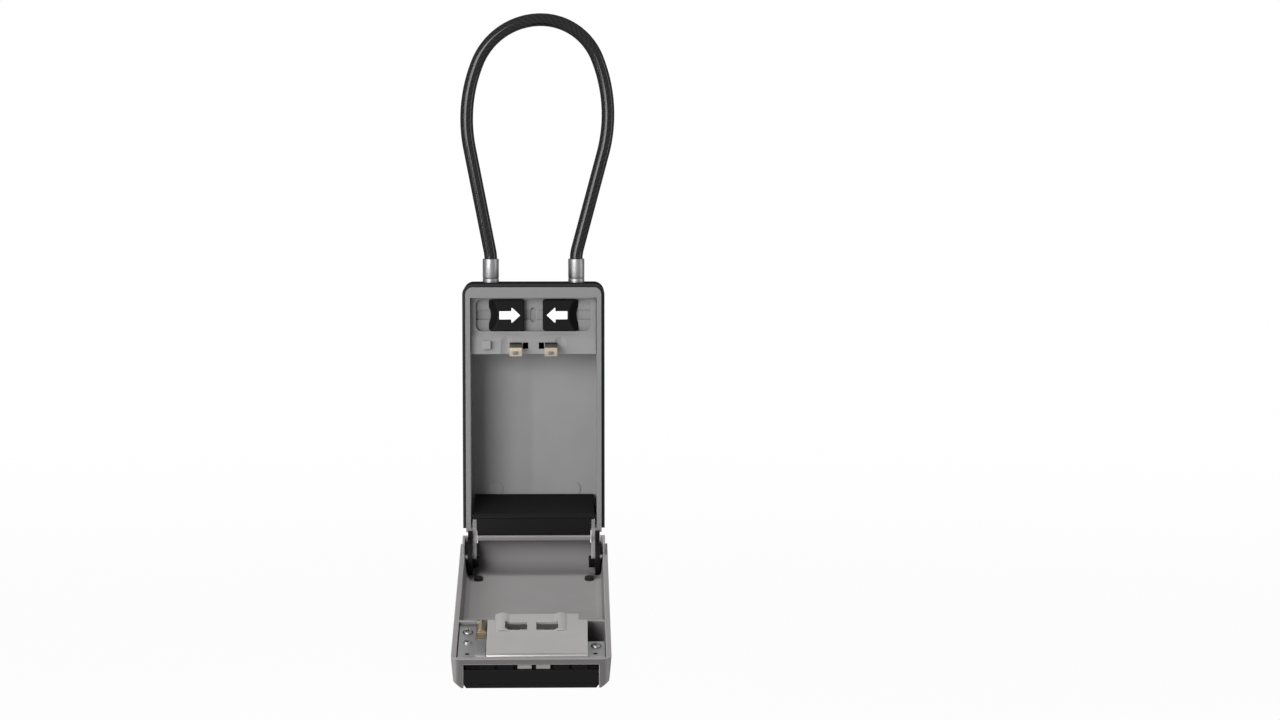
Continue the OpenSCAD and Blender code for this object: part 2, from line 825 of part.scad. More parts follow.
// Points of an arc about the hinge, between two angles above the back
function lip_arc(r, from, to) =
    [for (i = [0 : 6]) let (a = from + (to - from) * i / 6) [hinge_y + r * cos(a), hinge_z + r * sin(a)]];

// ---- Door ----------------------------------------------------------------------------------------------

// Cross-section of the door, as an outline inset by the wall and the floor
module door_section(wall, floor_t) {
    half = door_half - wall;
    mid = half - door_draft;
    foot = mid - edge_slant + wall * 0.6;
    polygon([
        [-half, door_y], [-mid, front_y + edge_chamfer + wall / 3], [-foot, front_y + floor_t],
        [foot, front_y + floor_t], [mid, front_y + edge_chamfer + wall / 3], [half, door_y]
    ]);
}

// Side view of the door: a flat tray that ends in a round barrel
module door_side() {
    translate([front_y, hinge_z]) square([door_y - front_y, door_end - hinge_z]);
    translate([hinge_y, hinge_z]) circle(barrel_r);
}

// A slice of the barrel between two angles, counted from the back through the top
module barrel_slice(x_low, x_high, from, to, r) {
    slab_yz(x_low, x_high) translate([hinge_y, hinge_z])
        polygon([[0, 0], for (i = [0 : 8]) let (a = from + (to - from) * i / 8) [r * cos(a), r * sin(a)]]);
}

module door_body() {
    intersection() {
        slab_yz(-door_half, door_half) door_side();
        slab_xy(hinge_z - barrel_r, door_end) union() {
            door_section(0, 0);
            translate([-ear_out, door_y]) square([2 * ear_out, barrel_r * 2]);
        }
        slab_xz(front_y - over, hinge_y + barrel_r + over)
            arched(door_half, hinge_z - barrel_r, door_end, door_corner_r);
    }
}

module door_shell() {
    color(door_grey) opened() difference() {
        door_body();
        // tray, shallower behind the shutter's track
        slab_xy(hinge_z, track_low - track_wall) tray_cut(door_floor);
        slab_xy(track_low - track_wall - over, bay_low - bay_wall) tray_cut(raised_y - front_y);
        // barrel's hollow, and its mouth above the pin
        bar_x(-ear_in, ear_in, hinge_y, hinge_z, barrel_in_r);
        block([-ear_in, hinge_y, hinge_z], [ear_in, hinge_y + barrel_r + over, hinge_z + barrel_r + over]);
        block(
            [-door_half, door_y, hinge_z + barrel_r * 0.5],
            [door_half, hinge_y + barrel_r + over, hinge_z + barrel_r + over]
        );
        // slots that the hinge arms sweep through
        both_sides() barrel_slice(arm_in - 0.5, ear_in, -70, 20, barrel_r * 1.5);
        both_sides() bar_x(ear_in - over, door_half + over, hinge_y, hinge_z, pin_r);
        // lock bay, end window and shutter's track
        slab_xy(bay_low, bay_high) tray_cut(door_floor);
        block([-shutter_half, front_y - over, case_low - fit_gap], [shutter_half, lintel_y, door_end + over]);
        track_cut();
        block(
            [-reset_x - reset_w / 2 - slide_gap, reset_y - 4.2, bay_low - bay_wall - over],
            [-reset_x + reset_w / 2 + slide_gap, door_y + over, bay_low + over]
        );
    }
}

// The door's inner section, carried on above the rim
module tray_cut(floor_t) {
    door_section(door_wall, floor_t);
    translate([-inner_half, door_y - 0.01]) square([2 * inner_half, barrel_r * 2]);
}

module track_cut() {
    slab_xy(track_low, door_end + over) dovetail_shape(fit_gap, front_y - over, track_y);
}

// Section of the shutter's dovetail between two depths, widened by a gap
module dovetail_shape(gap, y_low, y_high) {
    slope = dovetail / shutter_t;
    wide = shutter_half + gap;
    base = front_y + shutter_t;
    polygon([
        [-wide + (base - y_low) * slope, y_low], [wide - (base - y_low) * slope, y_low],
        [wide, base], [wide, y_high], [-wide, y_high], [-wide, base]
    ]);
}

module door_bumpers() {
    color(black) opened() both_sides() bar_y(arm_in - 1.2, hinge_z + 9, tray_y, tray_y + 1.6, 2.6);
}

module shutter() {
    color(black) opened() difference() {
        slab_xy(door_end - shutter_len, door_end) dovetail_shape(0, front_y, front_y + shutter_t);
        for (i = [0 : grip_count - 1]) {
            groove_z = door_end - grip_pitch * (i + 2);
            block([-grip_half, front_y - over, groove_z], [grip_half, front_y + grip_d, groove_z + grip_h]);
        }
    }
}

// ---- Dials ---------------------------------------------------------------------------------------------

function dial_x(i) = dial_left + dial_pitch * i;

module dial_case() {
    color(black) opened() difference() {
        union() {
            block([-case_half, case_front, case_low], [case_half, case_y, bay_high - fit_gap]);
            block([-case_half, case_front, case_low], [case_half, case_end_y, case_high]);
            block(
                [-case_half - flange, tray_y + flange_rise, bay_low + flange],
                [case_half + flange, tray_y + flange_rise + flange_t, bay_high - fit_gap]
            );
            both_sides() block([case_half - 3.2, track_y, case_low], [case_half, case_front, case_high]);
            block([-case_half, track_y, case_high - end_ridge], [case_half, case_front, case_high]);
            for (i = [0 : post_count - 1]) {
                if (i != saddle_posts[0] && i != saddle_posts[1]) {
                    comb_post(i);
                }
            }
            both_sides() bar_y(peg_x, peg_z, case_y, chassis_y, peg_r);
        }
        block([cell_left, cell_floor, dial_z - cell_half], [cell_right, case_y + over, dial_z + cell_half]);
        for (i = [0 : dial_count - 1]) {
            block(
                [dial_x(i) - dial_w / 2 - 0.4, case_front - over, dial_z - dial_slot],
                [dial_x(i) + dial_w / 2 + 0.4, cell_floor + over, dial_z + dial_slot]
            );
        }
        bar_x(shaft_left, shaft_right, dial_y, dial_z, shaft_r);
        block(
            [-reset_x - lug_half - slide_gap, case_y - lug_d - slide_gap, lug_low - reset_travel - slide_gap],
            [-reset_x + lug_half + slide_gap, case_y + over, lug_low + 2 * lug_half + slide_gap]
        );
        knob_pocket();
        knob_slot(case_y + over);
        screw_holes(case_y - screw_len - over, case_y + over);
        block(
            [cover_right + fit_gap, case_front + 1, case_low - over],
            [case_half + flange + over, case_y + over, screw_right_z - 6 - fit_gap]
        );
    }
}

// One post of the comb behind the door's end window
module comb_post(i) {
    x = post_first + post_pitch * i;
    block(
        [x - post_w / 2, case_end_y, bay_high - fit_gap],
        [x + post_w / 2, lintel_y - post_gap, case_high - post_in]
    );
}

module shaft_saddles() {
    color(white) opened() for (i = saddle_posts) {
        comb_post(i);
    }
}

module knob_pocket() {
    block(
        [knob_x - knob_w / 2 - slide_gap, case_front - over, knob_low - latch_travel - slide_gap],
        [knob_x + knob_w / 2 + slide_gap, knob_y + knob_t + slide_gap, knob_low + knob_h + slide_gap]
    );
}

module knob_slot(y_high) {
    block(
        [knob_x - stem_w / 2 - slide_gap, knob_y + knob_t - over, stem_z - latch_travel - slide_gap],
        [knob_x + stem_w / 2 + slide_gap, y_high, stem_z + stem_h + slide_gap]
    );
}

module screw_holes(y_low, y_high) {
    bar_y(-screw_left_x, screw_left_z, y_low, y_high, screw_r);
    bar_y(screw_right_x, screw_right_z, y_low, y_high, screw_r);
}

module dial_shaft() {
    color(steel) opened() bar_x(shaft_left, shaft_right, dial_y, dial_z, shaft_r);
}

module dial(i) {
    color(black) opened() translate([dial_x(i), dial_y, dial_z]) rotate([0, 90, 0]) difference() {
        union() {
            translate([0, 0, -dial_w / 2]) cylinder(h = dial_w, r = dial_r, $fn = 10);
            cylinder(h = dial_w / 2 + collar_w, r = collar_r);
        }
        for (k = [0 : 9]) {
            rotate([0, 0, 36 * k]) translate([dial_r, 0, -dial_w])
                cylinder(h = 2 * dial_w, r = notch_r, $fn = 24);
        }
        translate([0, 0, -dial_w]) cylinder(h = 3 * dial_w, r = shaft_r + run_gap);
    }
}

module detent_spring() {
    finger_y = dial_y + dial_r + fit_gap;
    foot_high = dial_z - cell_half - 1.5;
    color(steel) opened() {
        block(
            [dial_x(0) - foot_side, chassis_y, foot_high - foot_w],
            [dial_x(dial_count - 1) + foot_side, chassis_y + 0.4, foot_high]
        );
        for (i = [0 : dial_count - 1]) {
            slab_yz(dial_x(i) - 2, dial_x(i) + 2) polygon([
                [chassis_y, foot_high], [chassis_y + 0.4, foot_high], [finger_y + 0.4, foot_high + 2.2],
                [finger_y + 0.4, dial_z + 1], [finger_y, dial_z + 1], [finger_y, foot_high + 2.5]
            ]);
        }
    }
}

// ---- Lock bay ------------------------------------------------------------------------------------------

module lock_chassis() {
    color(zinc) opened() difference() {
        union() {
            block([-chassis_half, case_y, bay_low + fit_gap], [cover_right, chassis_y, bay_high - fit_gap]);
            block([cover_right - over, case_y, screw_right_z - 6], [chassis_half, chassis_y, bay_high - 4]);
            block(
                [-reset_x - reset_w / 2, chassis_y, peg_z - 9],
                [-reset_x + reset_w / 2, chassis_y + 0.8, peg_z + 3]
            );
            bar_y(-screw_left_x, plate_hole_z, chassis_y - over, chassis_y + 0.7, plate_hole_r + 0.8);
        }
        block(
            [cell_left, case_y - over, dial_z - cell_half],
            [cell_right, chassis_y + over, dial_z + cell_half]
        );
        block(
            [-reset_x - reset_w / 2 - slide_gap, case_y - over, bay_low - over],
            [-reset_x + reset_w / 2 + slide_gap, chassis_y + over, reset_low + reset_len + 3.2 + fit_gap]
        );
        both_sides() block(
            [strike_in - 0.7, case_y - over, slot_low],
            [strike_in + strike_w + 0.7, chassis_y + over, slot_high]
        );
        knob_slot(chassis_y + over);
        screw_holes(case_y - over, chassis_y + over);
        both_sides() bar_y(peg_x, peg_z, case_y - over, chassis_y + over, peg_r + 0.1);
        bar_y(-screw_left_x, plate_hole_z, case_y - over, chassis_y + over, plate_hole_r);
    }
}

module cross_screw(x, z) {
    difference() {
        union() {
            bar_y(x, z, case_y - screw_len, chassis_y, screw_r);
            bar_y(x, z, chassis_y, chassis_y + screw_head_t, screw_head_r);
        }
        for (turn = [25, 115]) {
            translate([x, chassis_y + screw_head_t - cross_d, z]) rotate([0, turn, 0])
                block([-cross_half, 0, -cross_w / 2], [cross_half, over, cross_w / 2]);
        }
    }
}

module chassis_screws() {
    color(steel) opened() {
        cross_screw(-screw_left_x, screw_left_z);
        cross_screw(screw_right_x, screw_right_z);
    }
}

// Depth of the cover's sloping face at a height
function cover_face(z) = cover_y - cover_fall * (z - cover_low);

module lock_cover() {
    edge = 0.8;
    thin_z = cover_low + (cover_y - cover_t - chassis_y) / cover_fall;
    color(door_grey) opened() difference() {
        union() {
            slab_yz(-cover_left, cover_right) polygon([
                [cover_y, cover_low], [cover_face(cover_roll - edge), cover_roll - edge],
                [cover_face(cover_roll - edge) - edge, cover_roll], [chassis_y + lip_rise, cover_roll],
                [chassis_y + lip_rise, cover_high], [chassis_y, cover_high],
                [chassis_y, thin_z], [cover_y - cover_t, cover_low]
            ]);
            cover_leg(-cover_left, -cover_left + leg_t);
            cover_leg(cover_right - leg_t, cover_right);
            both_sides() cover_guide();
        }
        both_sides() block(
            [slot_in, cover_y - 4 * cover_t, slot_low],
            [slot_out, cover_y + 2 * guide_rise, slot_high]
        );
        block(
            [cover_right - notch_right, cover_y - 2 * cover_t, cover_low - over],
            [cover_right + over, cover_y + over, cover_low + notch_h]
        );
        block(
            [-cover_left - over, cover_y - 2 * cover_t, cover_low - over],
            [-cover_left + notch_left, cover_y + over, cover_low + notch_h]
        );
    }
}

// A low round-backed guide along the cover's face
module cover_guide() {
    guide_end = cover_low + guide_len + over;
    intersection() {
        translate([guide_x, guide_y, cover_low]) rotate([atan(cover_fall), 0, 0])
            cylinder(h = guide_len, r = guide_r);
        slab_yz(0, cover_right) polygon([
            [cover_y - 0.5, cover_low], [cover_y + 2 * guide_rise, cover_low],
            [cover_face(guide_end) + 2 * guide_rise, guide_end], [cover_face(guide_end) - 0.5, guide_end]
        ]);
    }
}

// A leg along one side of the cover, down to the chassis plate
module cover_leg(x_low, x_high) {
    slab_yz(x_low, x_high) polygon([
        [chassis_y, cover_low + leg_t], [cover_face(cover_low + leg_t) - edge_in, cover_low + leg_t],
        [cover_face(cover_roll - 1) - edge_in, cover_roll - 1], [chassis_y, cover_roll - 1]
    ]);
}

module latch_plate() {
    bar_half = strike_in + strike_w + bar_end;
    color(steel) opened() slab_xz(latch_y - latch_t, latch_y) {
        translate([-bar_half, latch_low])
            square([bar_half + latch_arm_x + latch_arm_w, latch_bar_high - latch_low]);
        translate([-strike_in - strike_w, latch_low]) square([strike_w, latch_high - latch_low]);
        translate([strike_in, latch_low]) square([strike_w, latch_high - latch_low]);
        translate([latch_arm_x, latch_low]) square([latch_arm_w, stem_z + stem_h - latch_low]);
    }
}

module release_knob() {
    color(black) opened() difference() {
        union() {
            block(
                [knob_x - knob_w / 2, knob_y, knob_low],
                [knob_x + knob_w / 2, knob_y + knob_t, knob_low + knob_h]
            );
            block(
                [knob_x - stem_w / 2, knob_y, stem_z],
                [knob_x + stem_w / 2, latch_y - latch_t, stem_z + stem_h]
            );
        }
        for (i = [0 : 2]) {
            block(
                [knob_x - knob_w, knob_y - over, knob_low + 2.5 + 3 * i],
                [knob_x + knob_w, knob_y + 0.7, knob_low + 4 + 3 * i]
            );
        }
    }
}

module reset_lever() {
    color(brass) opened() {
        block(
            [-reset_x - reset_w / 2, case_y + slide_gap, reset_low],
            [-reset_x + reset_w / 2, chassis_y + 0.4, reset_low + reset_len + 3]
        );
        block(
            [-reset_x - reset_w / 2, chassis_y, reset_low],
            [-reset_x + reset_w / 2, reset_y, reset_low + 1.6]
        );
        block(
            [-reset_x - lug_half, case_y - lug_d, lug_low],
            [-reset_x + lug_half, chassis_y, lug_low + 2 * lug_half]
        );
        intersection() {
            translate([-reset_x, chassis_y - 0.6, reset_low]) cylinder(h = reset_len - 4, r = reset_w / 2);
            block(
                [-reset_x - reset_w, chassis_y, reset_low],
                [-reset_x + reset_w, door_y + 2, reset_low + reset_len]
            );
        }
    }
}

jacket();
housing_shell();
release_panel();
slider(-1);  // slider_left
slider(1);  // slider_right
arrow(-1);  // arrow_left
arrow(1);  // arrow_right
lock_plate(-1);  // lock_plate_left
lock_plate(1);  // lock_plate_right
slider_spring(-1);  // spring_left
slider_spring(1);  // spring_right
strike(-1);  // strike_left
strike(1);  // strike_right
ferrule(-1);  // ferrule_left
ferrule(1);  // ferrule_right
cable();
hinge_cover();
hinge_arm(-1);  // hinge_arm_left
hinge_arm(1);  // hinge_arm_right
hinge_bush(-1);  // hinge_bush_left
hinge_bush(1);  // hinge_bush_right
door_shell();
hinge_pin(-1);  // hinge_pin_left
hinge_pin(1);  // hinge_pin_right
door_bumpers();
dial_case();
shaft_saddles();
lock_chassis();
chassis_screws();
lock_cover();
latch_plate();
release_knob();
dial_shaft();
dial(0);  // dial_1
dial(1);  // dial_2
dial(2);  // dial_3
dial(3);  // dial_4
detent_spring();
reset_lever();
shutter();
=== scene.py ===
"""Portable key lock box with a cable shackle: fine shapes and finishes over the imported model.

Lengths are in metres in the part's own frame: +Z is up, -Y is out of the front and +X is to the right.
The door rests open, so pieces that ride on it are worked out shut and then swung about the hinge.
"""

import json
import logging
import math
from collections.abc import Sequence
from dataclasses import dataclass, field
from enum import Enum

import bmesh
import bpy
import numpy as np
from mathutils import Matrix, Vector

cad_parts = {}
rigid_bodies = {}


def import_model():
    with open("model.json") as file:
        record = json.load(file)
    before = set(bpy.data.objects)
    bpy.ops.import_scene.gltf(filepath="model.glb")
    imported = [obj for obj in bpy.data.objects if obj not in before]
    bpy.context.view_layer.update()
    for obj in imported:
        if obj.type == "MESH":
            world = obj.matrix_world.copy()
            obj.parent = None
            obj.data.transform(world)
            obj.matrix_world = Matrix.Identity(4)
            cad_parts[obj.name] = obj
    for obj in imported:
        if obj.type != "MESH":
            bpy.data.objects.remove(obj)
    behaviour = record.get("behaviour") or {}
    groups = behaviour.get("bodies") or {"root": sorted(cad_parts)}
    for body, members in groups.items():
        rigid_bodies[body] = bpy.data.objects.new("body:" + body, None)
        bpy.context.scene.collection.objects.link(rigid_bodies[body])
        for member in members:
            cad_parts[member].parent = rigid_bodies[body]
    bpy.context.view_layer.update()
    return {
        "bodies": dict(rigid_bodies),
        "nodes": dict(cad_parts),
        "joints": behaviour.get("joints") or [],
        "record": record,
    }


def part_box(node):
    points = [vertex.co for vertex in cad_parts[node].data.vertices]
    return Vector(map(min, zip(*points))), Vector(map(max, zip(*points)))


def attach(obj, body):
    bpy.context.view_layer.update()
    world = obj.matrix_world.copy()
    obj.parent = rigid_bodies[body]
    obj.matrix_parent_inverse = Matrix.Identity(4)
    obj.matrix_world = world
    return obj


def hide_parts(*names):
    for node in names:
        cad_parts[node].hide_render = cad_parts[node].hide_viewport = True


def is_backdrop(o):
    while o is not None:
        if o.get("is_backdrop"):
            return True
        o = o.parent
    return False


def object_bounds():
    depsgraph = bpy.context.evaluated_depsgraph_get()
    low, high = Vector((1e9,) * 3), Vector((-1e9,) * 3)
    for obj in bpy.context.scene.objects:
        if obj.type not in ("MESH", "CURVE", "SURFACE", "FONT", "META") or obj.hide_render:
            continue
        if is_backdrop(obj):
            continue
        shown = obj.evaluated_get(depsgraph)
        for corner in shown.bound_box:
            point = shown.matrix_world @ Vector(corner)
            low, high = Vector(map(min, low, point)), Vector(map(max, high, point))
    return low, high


LOG = logging.getLogger("lock_box")
MM = 0.001
WELD = 1e-6
RIGHT_ANGLE = np.pi / 2
WHITE = (1.0, 1.0, 1.0, 1.0)
Array = np.ndarray
Colour = tuple[float, float, float]
Span = tuple[float, float]
Glyph = tuple[Array, list[list[int]]]
Node = bpy.types.Node
Socket = bpy.types.NodeSocket


class Choice(Enum):
    """A choice among named options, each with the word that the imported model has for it."""

    @property
    def word(self) -> str:
        """The option's name in small letters."""
        return self.name.lower()


class Side(Choice):
    """The side of the box that a paired piece is on, as the sign of its X."""

    LEFT = -1
    RIGHT = 1


class Dial(Choice):
    """The number dials, by their place along the shaft."""

    FIRST = 1
    SECOND = 2
    THIRD = 3
    FOURTH = 4


class Way(Enum):
    """The direction that a prism's outline is carried along. The outline lies in the other two."""

    ALONG_X = 0
    ALONG_Y = 1


# ---- Surfaces ------------------------------------------------------------------------------------------


@dataclass(frozen=True)
class Box:
    """The upright box round a piece, between its lowest and its highest corner."""

    low: Array
    high: Array

    @property
    def middle(self) -> Array:
        """The box's middle point."""
        return (self.low + self.high) / 2

    @property
    def half(self) -> Array:
        """Half of the box's width, depth and height."""
        return (self.high - self.low) / 2


@dataclass
class Patch:
    """A grid of points that forms a stretch of surface.

    Attributes:
        points: Rows by columns by three.
        ring: Whether each row closes on itself.
        fill_first: Whether the first row is filled with one flat face.
        fill_last: Whether the last row is filled with one flat face.
    """

    points: Array
    ring: bool = True
    fill_first: bool = False
    fill_last: bool = False

    def faces(self) -> list[list[int]]:
        """Lists the quads between neighbouring rows and columns, row by row, and then the filled rims.

        Returns:
            Point numbers for each face.
        """
        rows, columns = self.points.shape[:2]
        here = columns * np.arange(rows - 1)[:, None]
        left = np.arange(columns if self.ring else columns - 1)[None, :]
        right = (left + 1) % columns
        quads = [here + left, here + right, here + columns + right, here + columns + left]
        faces = np.stack(quads, axis=-1).reshape(-1, 4).tolist()
        if self.fill_first:
            faces.append(list(range(columns))[::-1])
        if self.fill_last:
            faces.append(list(range((rows - 1) * columns, rows * columns)))
        return faces


def show(name: str, data: bpy.types.ID) -> bpy.types.Object:
    """Makes an object and puts it into the scene.

    Args:
        name: The object's name.
        data: Its mesh, text, camera or light.

    Returns:
        The new object, at the origin.
    """
    made = bpy.data.objects.new(name, data)
    bpy.context.scene.collection.objects.link(made)
    return made


def mesh_points(mesh: bpy.types.Mesh) -> Array:
    """Reads a mesh's points.

    Args:
        mesh: The mesh.

    Returns:
        Its points, one to a row.
    """
    points = np.empty(len(mesh.vertices) * 3)
    mesh.vertices.foreach_get("co", points)
    return points.reshape(-1, 3)


def make_piece(name: str, patches: Sequence[Patch], sharp: float = 35.0) -> bpy.types.Object:
    """Puts patches into one closed mesh whose faces point outwards.

    Args:
        name: The piece's name.
        patches: The surfaces that make up the piece.
        sharp: Edges that turn by more than this many degrees stay sharp.

    Returns:
        The new object, at the origin.
    """
    points = np.concatenate([p.points.reshape(-1, 3) for p in patches])
    first = np.cumsum([0] + [p.points.shape[0] * p.points.shape[1] for p in patches])
    faces = [[n + int(start) for n in face] for p, start in zip(patches, first) for face in p.faces()]
    mesh = bpy.data.meshes.new(name)
    mesh.from_pydata(points.tolist(), [], faces)
    shape = bmesh.new()
    shape.from_mesh(mesh)
    bmesh.ops.remove_doubles(shape, verts=shape.verts, dist=WELD)
    bmesh.ops.recalc_face_normals(shape, faces=shape.faces)
    shape.to_mesh(mesh)
    shape.free()
    mesh.shade_smooth()
    mesh.set_sharp_from_angle(angle=math.radians(sharp))
    return show(name, mesh)


def rounded_outline(corners: Array, radii: Sequence[float] | float, steps: int) -> Array:
    """Rounds each corner of a closed outline with an arc that touches both of its sides.

    The arc's middle lies on the corner's bisector, radius / sin(half the corner's angle) away, and its points
    turn evenly from one touching point to the other.

    Args:
        corners: The outline's corners, as points in a plane.
        radii: The radius of each corner, or one for all.
        steps: Steps in each arc.

    Returns:
        The rounded outline's points.
    """
    r = np.broadcast_to(np.asarray(radii, float), len(corners))[:, None]
    back = np.roll(corners, 1, axis=0) - corners
    ahead = np.roll(corners, -1, axis=0) - corners
    back /= np.linalg.norm(back, axis=1, keepdims=True)
    ahead /= np.linalg.norm(ahead, axis=1, keepdims=True)
    half = np.arccos(np.clip((back * ahead).sum(1, keepdims=True), -1, 1)) / 2
    bisector = back + ahead
    bisector /= np.linalg.norm(bisector, axis=1, keepdims=True)
    middle = corners + bisector * r / np.sin(half)
    start = corners + back * r / np.tan(half) - middle
    end = corners + ahead * r / np.tan(half) - middle
    turn = (np.pi - 2 * half)[:, :, None]
    t = np.linspace(0, 1, steps + 1)[None, :, None]
    arcs = (np.sin((1 - t) * turn) * start[:, None] + np.sin(t * turn) * end[:, None]) / np.sin(turn)
    return (middle[:, None] + arcs).reshape(-1, 2)


def evenly_spread(line: Array, count: int) -> Array:
    """Spreads points evenly along an open line.

    Args:
        line: The line's points.
        count: How many points to give back.

    Returns:
        Points at equal steps of length along the line.
    """
    along = np.concatenate([[0], np.cumsum(np.linalg.norm(np.diff(line, axis=0), axis=1))])
    at = np.linspace(0, along[-1], count)
    return np.stack([np.interp(at, along, line[:, k]) for k in range(line.shape[1])], axis=1)


def outline_normals(outline: Array) -> Array:
    """Finds the outward direction at each point of a closed flat outline.

    The direction is the step between the two neighbours, turned by a right angle away from the inside.

    Args:
        outline: The outline's points.

    Returns:
        A unit direction for each point.
    """
    before, after = np.roll(outline, 1, axis=0), np.roll(outline, -1, axis=0)
    step = after - before
    area = (outline[:, 0] * after[:, 1] - outline[:, 1] * after[:, 0]).sum()
    out = np.stack([step[:, 1], -step[:, 0]], axis=1) * (1 if area > 0 else -1)
    return out / np.maximum(np.linalg.norm(out, axis=1, keepdims=True), 1e-12)


def prism(
    outline: Array,
    low: float,
    high: float,
    way: Way,
    edge: float,
    edge_low: float | None = None,
    steps: int = 4,
) -> Patch:
    """Carries a closed outline along a straight path and rounds both of its rims.

    At the rims the outline draws in by edge * (1 - cos a) while it moves along by edge * sin a, for a from 0
    to a right angle.

    Args:
        outline: The outline in the two directions that the path doesn't take, in the order X, Y, Z.
        low: Where the prism starts.
        high: Where it ends.
        way: The direction of its path.
        edge: Radius of the rounded rim at the high end.
        edge_low: Radius at the low end, or None for the same.
        steps: Steps in each rounded rim.

    Returns:
        The prism's surface with both ends filled.
    """
    edge_low = edge if edge_low is None else edge_low
    a = quarter_angles(steps)
    inset = np.concatenate([edge_low * (1 - np.cos(a[::-1])), edge * (1 - np.cos(a))])
    along = np.concatenate([low + edge_low * (1 - np.sin(a[::-1])), high - edge * (1 - np.sin(a))])
    flat = outline[None] - outline_normals(outline)[None] * inset[:, None, None]
    path = np.broadcast_to(along[:, None, None], flat.shape[:2] + (1,))
    points = np.concatenate([flat[..., : way.value], path, flat[..., way.value :]], axis=-1)
    return Patch(points, fill_first=True, fill_last=True)


def round_angles(sides: int) -> Array:
    """Angles at equal steps once round a circle."""
    return np.linspace(0, 2 * np.pi, sides, endpoint=False)


def quarter_angles(steps: int) -> Array:
    """Angles at equal steps through a right angle, with both of its ends."""
    return np.linspace(0, RIGHT_ANGLE, steps + 1)


def lathe(profile: Array, x: float, y: float, sides: int) -> Patch:
    """Turns a profile of radius and height about an upright line: X + r cos b and Y + r sin b at angle b.

    Args:
        profile: Radius and height of each point, from one end of the line to the other.
        x: Where the line stands.
        y: Where the line stands.
        sides: Points round the line.

    Returns:
        The turned surface.
    """
    b = round_angles(sides)
    r, z = profile[:, 0, None], profile[:, 1, None]
    return Patch(np.stack([x + r * np.cos(b), y + r * np.sin(b), z + 0 * b], axis=-1))


def turned(y: Array, z: Array, angle: float) -> tuple[Array, Array]:
    """Turns points about a line along X: Y becomes y cos a - z sin a, and Z becomes y sin a + z cos a.

    Args:
        y: How far the points lie from the line along Y.
        z: How far they lie from it along Z.
        angle: The angle a, in radians.

    Returns:
        The turned distances along Y and Z.
    """
    c, s = math.cos(angle), math.sin(angle)
    return y * c - z * s, y * s + z * c


# ---- Node trees ----------------------------------------------------------------------------------------


class Wiring:
    """Adds nodes to a tree and joins their sockets."""

    def __init__(self, tree: bpy.types.NodeTree) -> None:
        """Takes the tree that it works on."""
        self.tree = tree

    def node(self, kind: str, **settings: object) -> Node:
        """Adds a node of a kind and sets its properties.

        Args:
            kind: The kind of node.
            settings: Its properties.

        Returns:
            The node.
        """
        node = self.tree.nodes.new(kind)
        for key, value in settings.items():
            setattr(node, key, value)
        return node

    def first(self, kind: str) -> Node:
        """The first node of a kind that the tree already holds."""
        return next(node for node in self.tree.nodes if node.type == kind)

    def feed(self, node: Node, *values: object, **named: object) -> Node:
        """Gives a node its inputs. A socket is linked to the input, and anything else is set on it.

        Args:
            node: The node.
            values: What its first inputs get, in their order.
            named: What an input gets by its name, with an underscore for each space.

        Returns:
            The same node.
        """
        inputs = list(zip(node.inputs, values))
        inputs += [(node.inputs[name.replace("_", " ")], value) for name, value in named.items()]
        for socket, value in inputs:
            if isinstance(value, Socket):
                self.tree.links.new(value, socket)
            else:
                socket.default_value = value
        return node

    def math(self, operation: str, first: Socket | float, second: Socket | float) -> Socket:
        """Works out one value from two, as the operation's name says."""
        return self.feed(self.node("ShaderNodeMath", operation=operation), first, second).outputs["Value"]

    def remap(self, value: Socket, start: Span, end: Span = (0.0, 1.0), smooth: bool = False) -> Socket:
        """Stretches a value from one span to another and holds it beyond the ends.

        Args:
            value: The value.
            start: The two ends of the span that it comes from.
            end: What they become.
            smooth: Whether the value eases in and out.

        Returns:
            The stretched value.
        """
        node = self.node("ShaderNodeMapRange", interpolation_type="SMOOTHSTEP" if smooth else "LINEAR")
        self.feed(node, Value=value, From_Min=start[0], From_Max=start[1], To_Min=end[0], To_Max=end[1])
        return node.outputs["Result"]

    def noise(self, vector: Socket, scale: Socket | float, detail: float, roughness: float = 0.5) -> Socket:
        """Adds a noise.

        Args:
            vector: The coordinates that it follows.
            scale: One over the size of its grains.
            detail: How many finer layers it has.
            roughness: How strong the finer layers are.

        Returns:
            The noise's value.
        """
        node = self.node("ShaderNodeTexNoise")
        self.feed(node, Vector=vector, Scale=scale, Detail=detail, Roughness=roughness)
        return node.outputs["Fac"]


class Effect(Wiring):
    """A shader group under construction, with its named inputs and outputs."""

    def __init__(
        self, name: str, sizes: dict[str, float], masks: Sequence[str], normal: bool = False
    ) -> None:
        """Starts the group.

        Args:
            name: The group's name.
            sizes: Its inputs, with the sizes that they start from.
            masks: Its outputs that are masks or heights.
            normal: Whether it also gives out a Normal.
        """
        super().__init__(bpy.data.node_groups.new(name, "ShaderNodeTree"))
        face = self.tree.interface
        for label, size in sizes.items():
            face.new_socket(label, in_out="INPUT", socket_type="NodeSocketFloat").default_value = size
        for label in masks:
            face.new_socket(label, in_out="OUTPUT", socket_type="NodeSocketFloat")
        if normal:
            face.new_socket("Normal", in_out="OUTPUT", socket_type="NodeSocketVector")
        self.source = self.node("NodeGroupInput")
        self.sink = self.node("NodeGroupOutput")

    def scale(self, label: str) -> Socket:
        """One over an input's size, for a pattern of that size."""
        return self.math("DIVIDE", 1.0, self.source.outputs[label])

    def done(self, **outputs: Socket) -> bpy.types.NodeTree:
        """Links the group's outputs and gives the group back."""
        self.feed(self.sink, **outputs)
        return self.tree


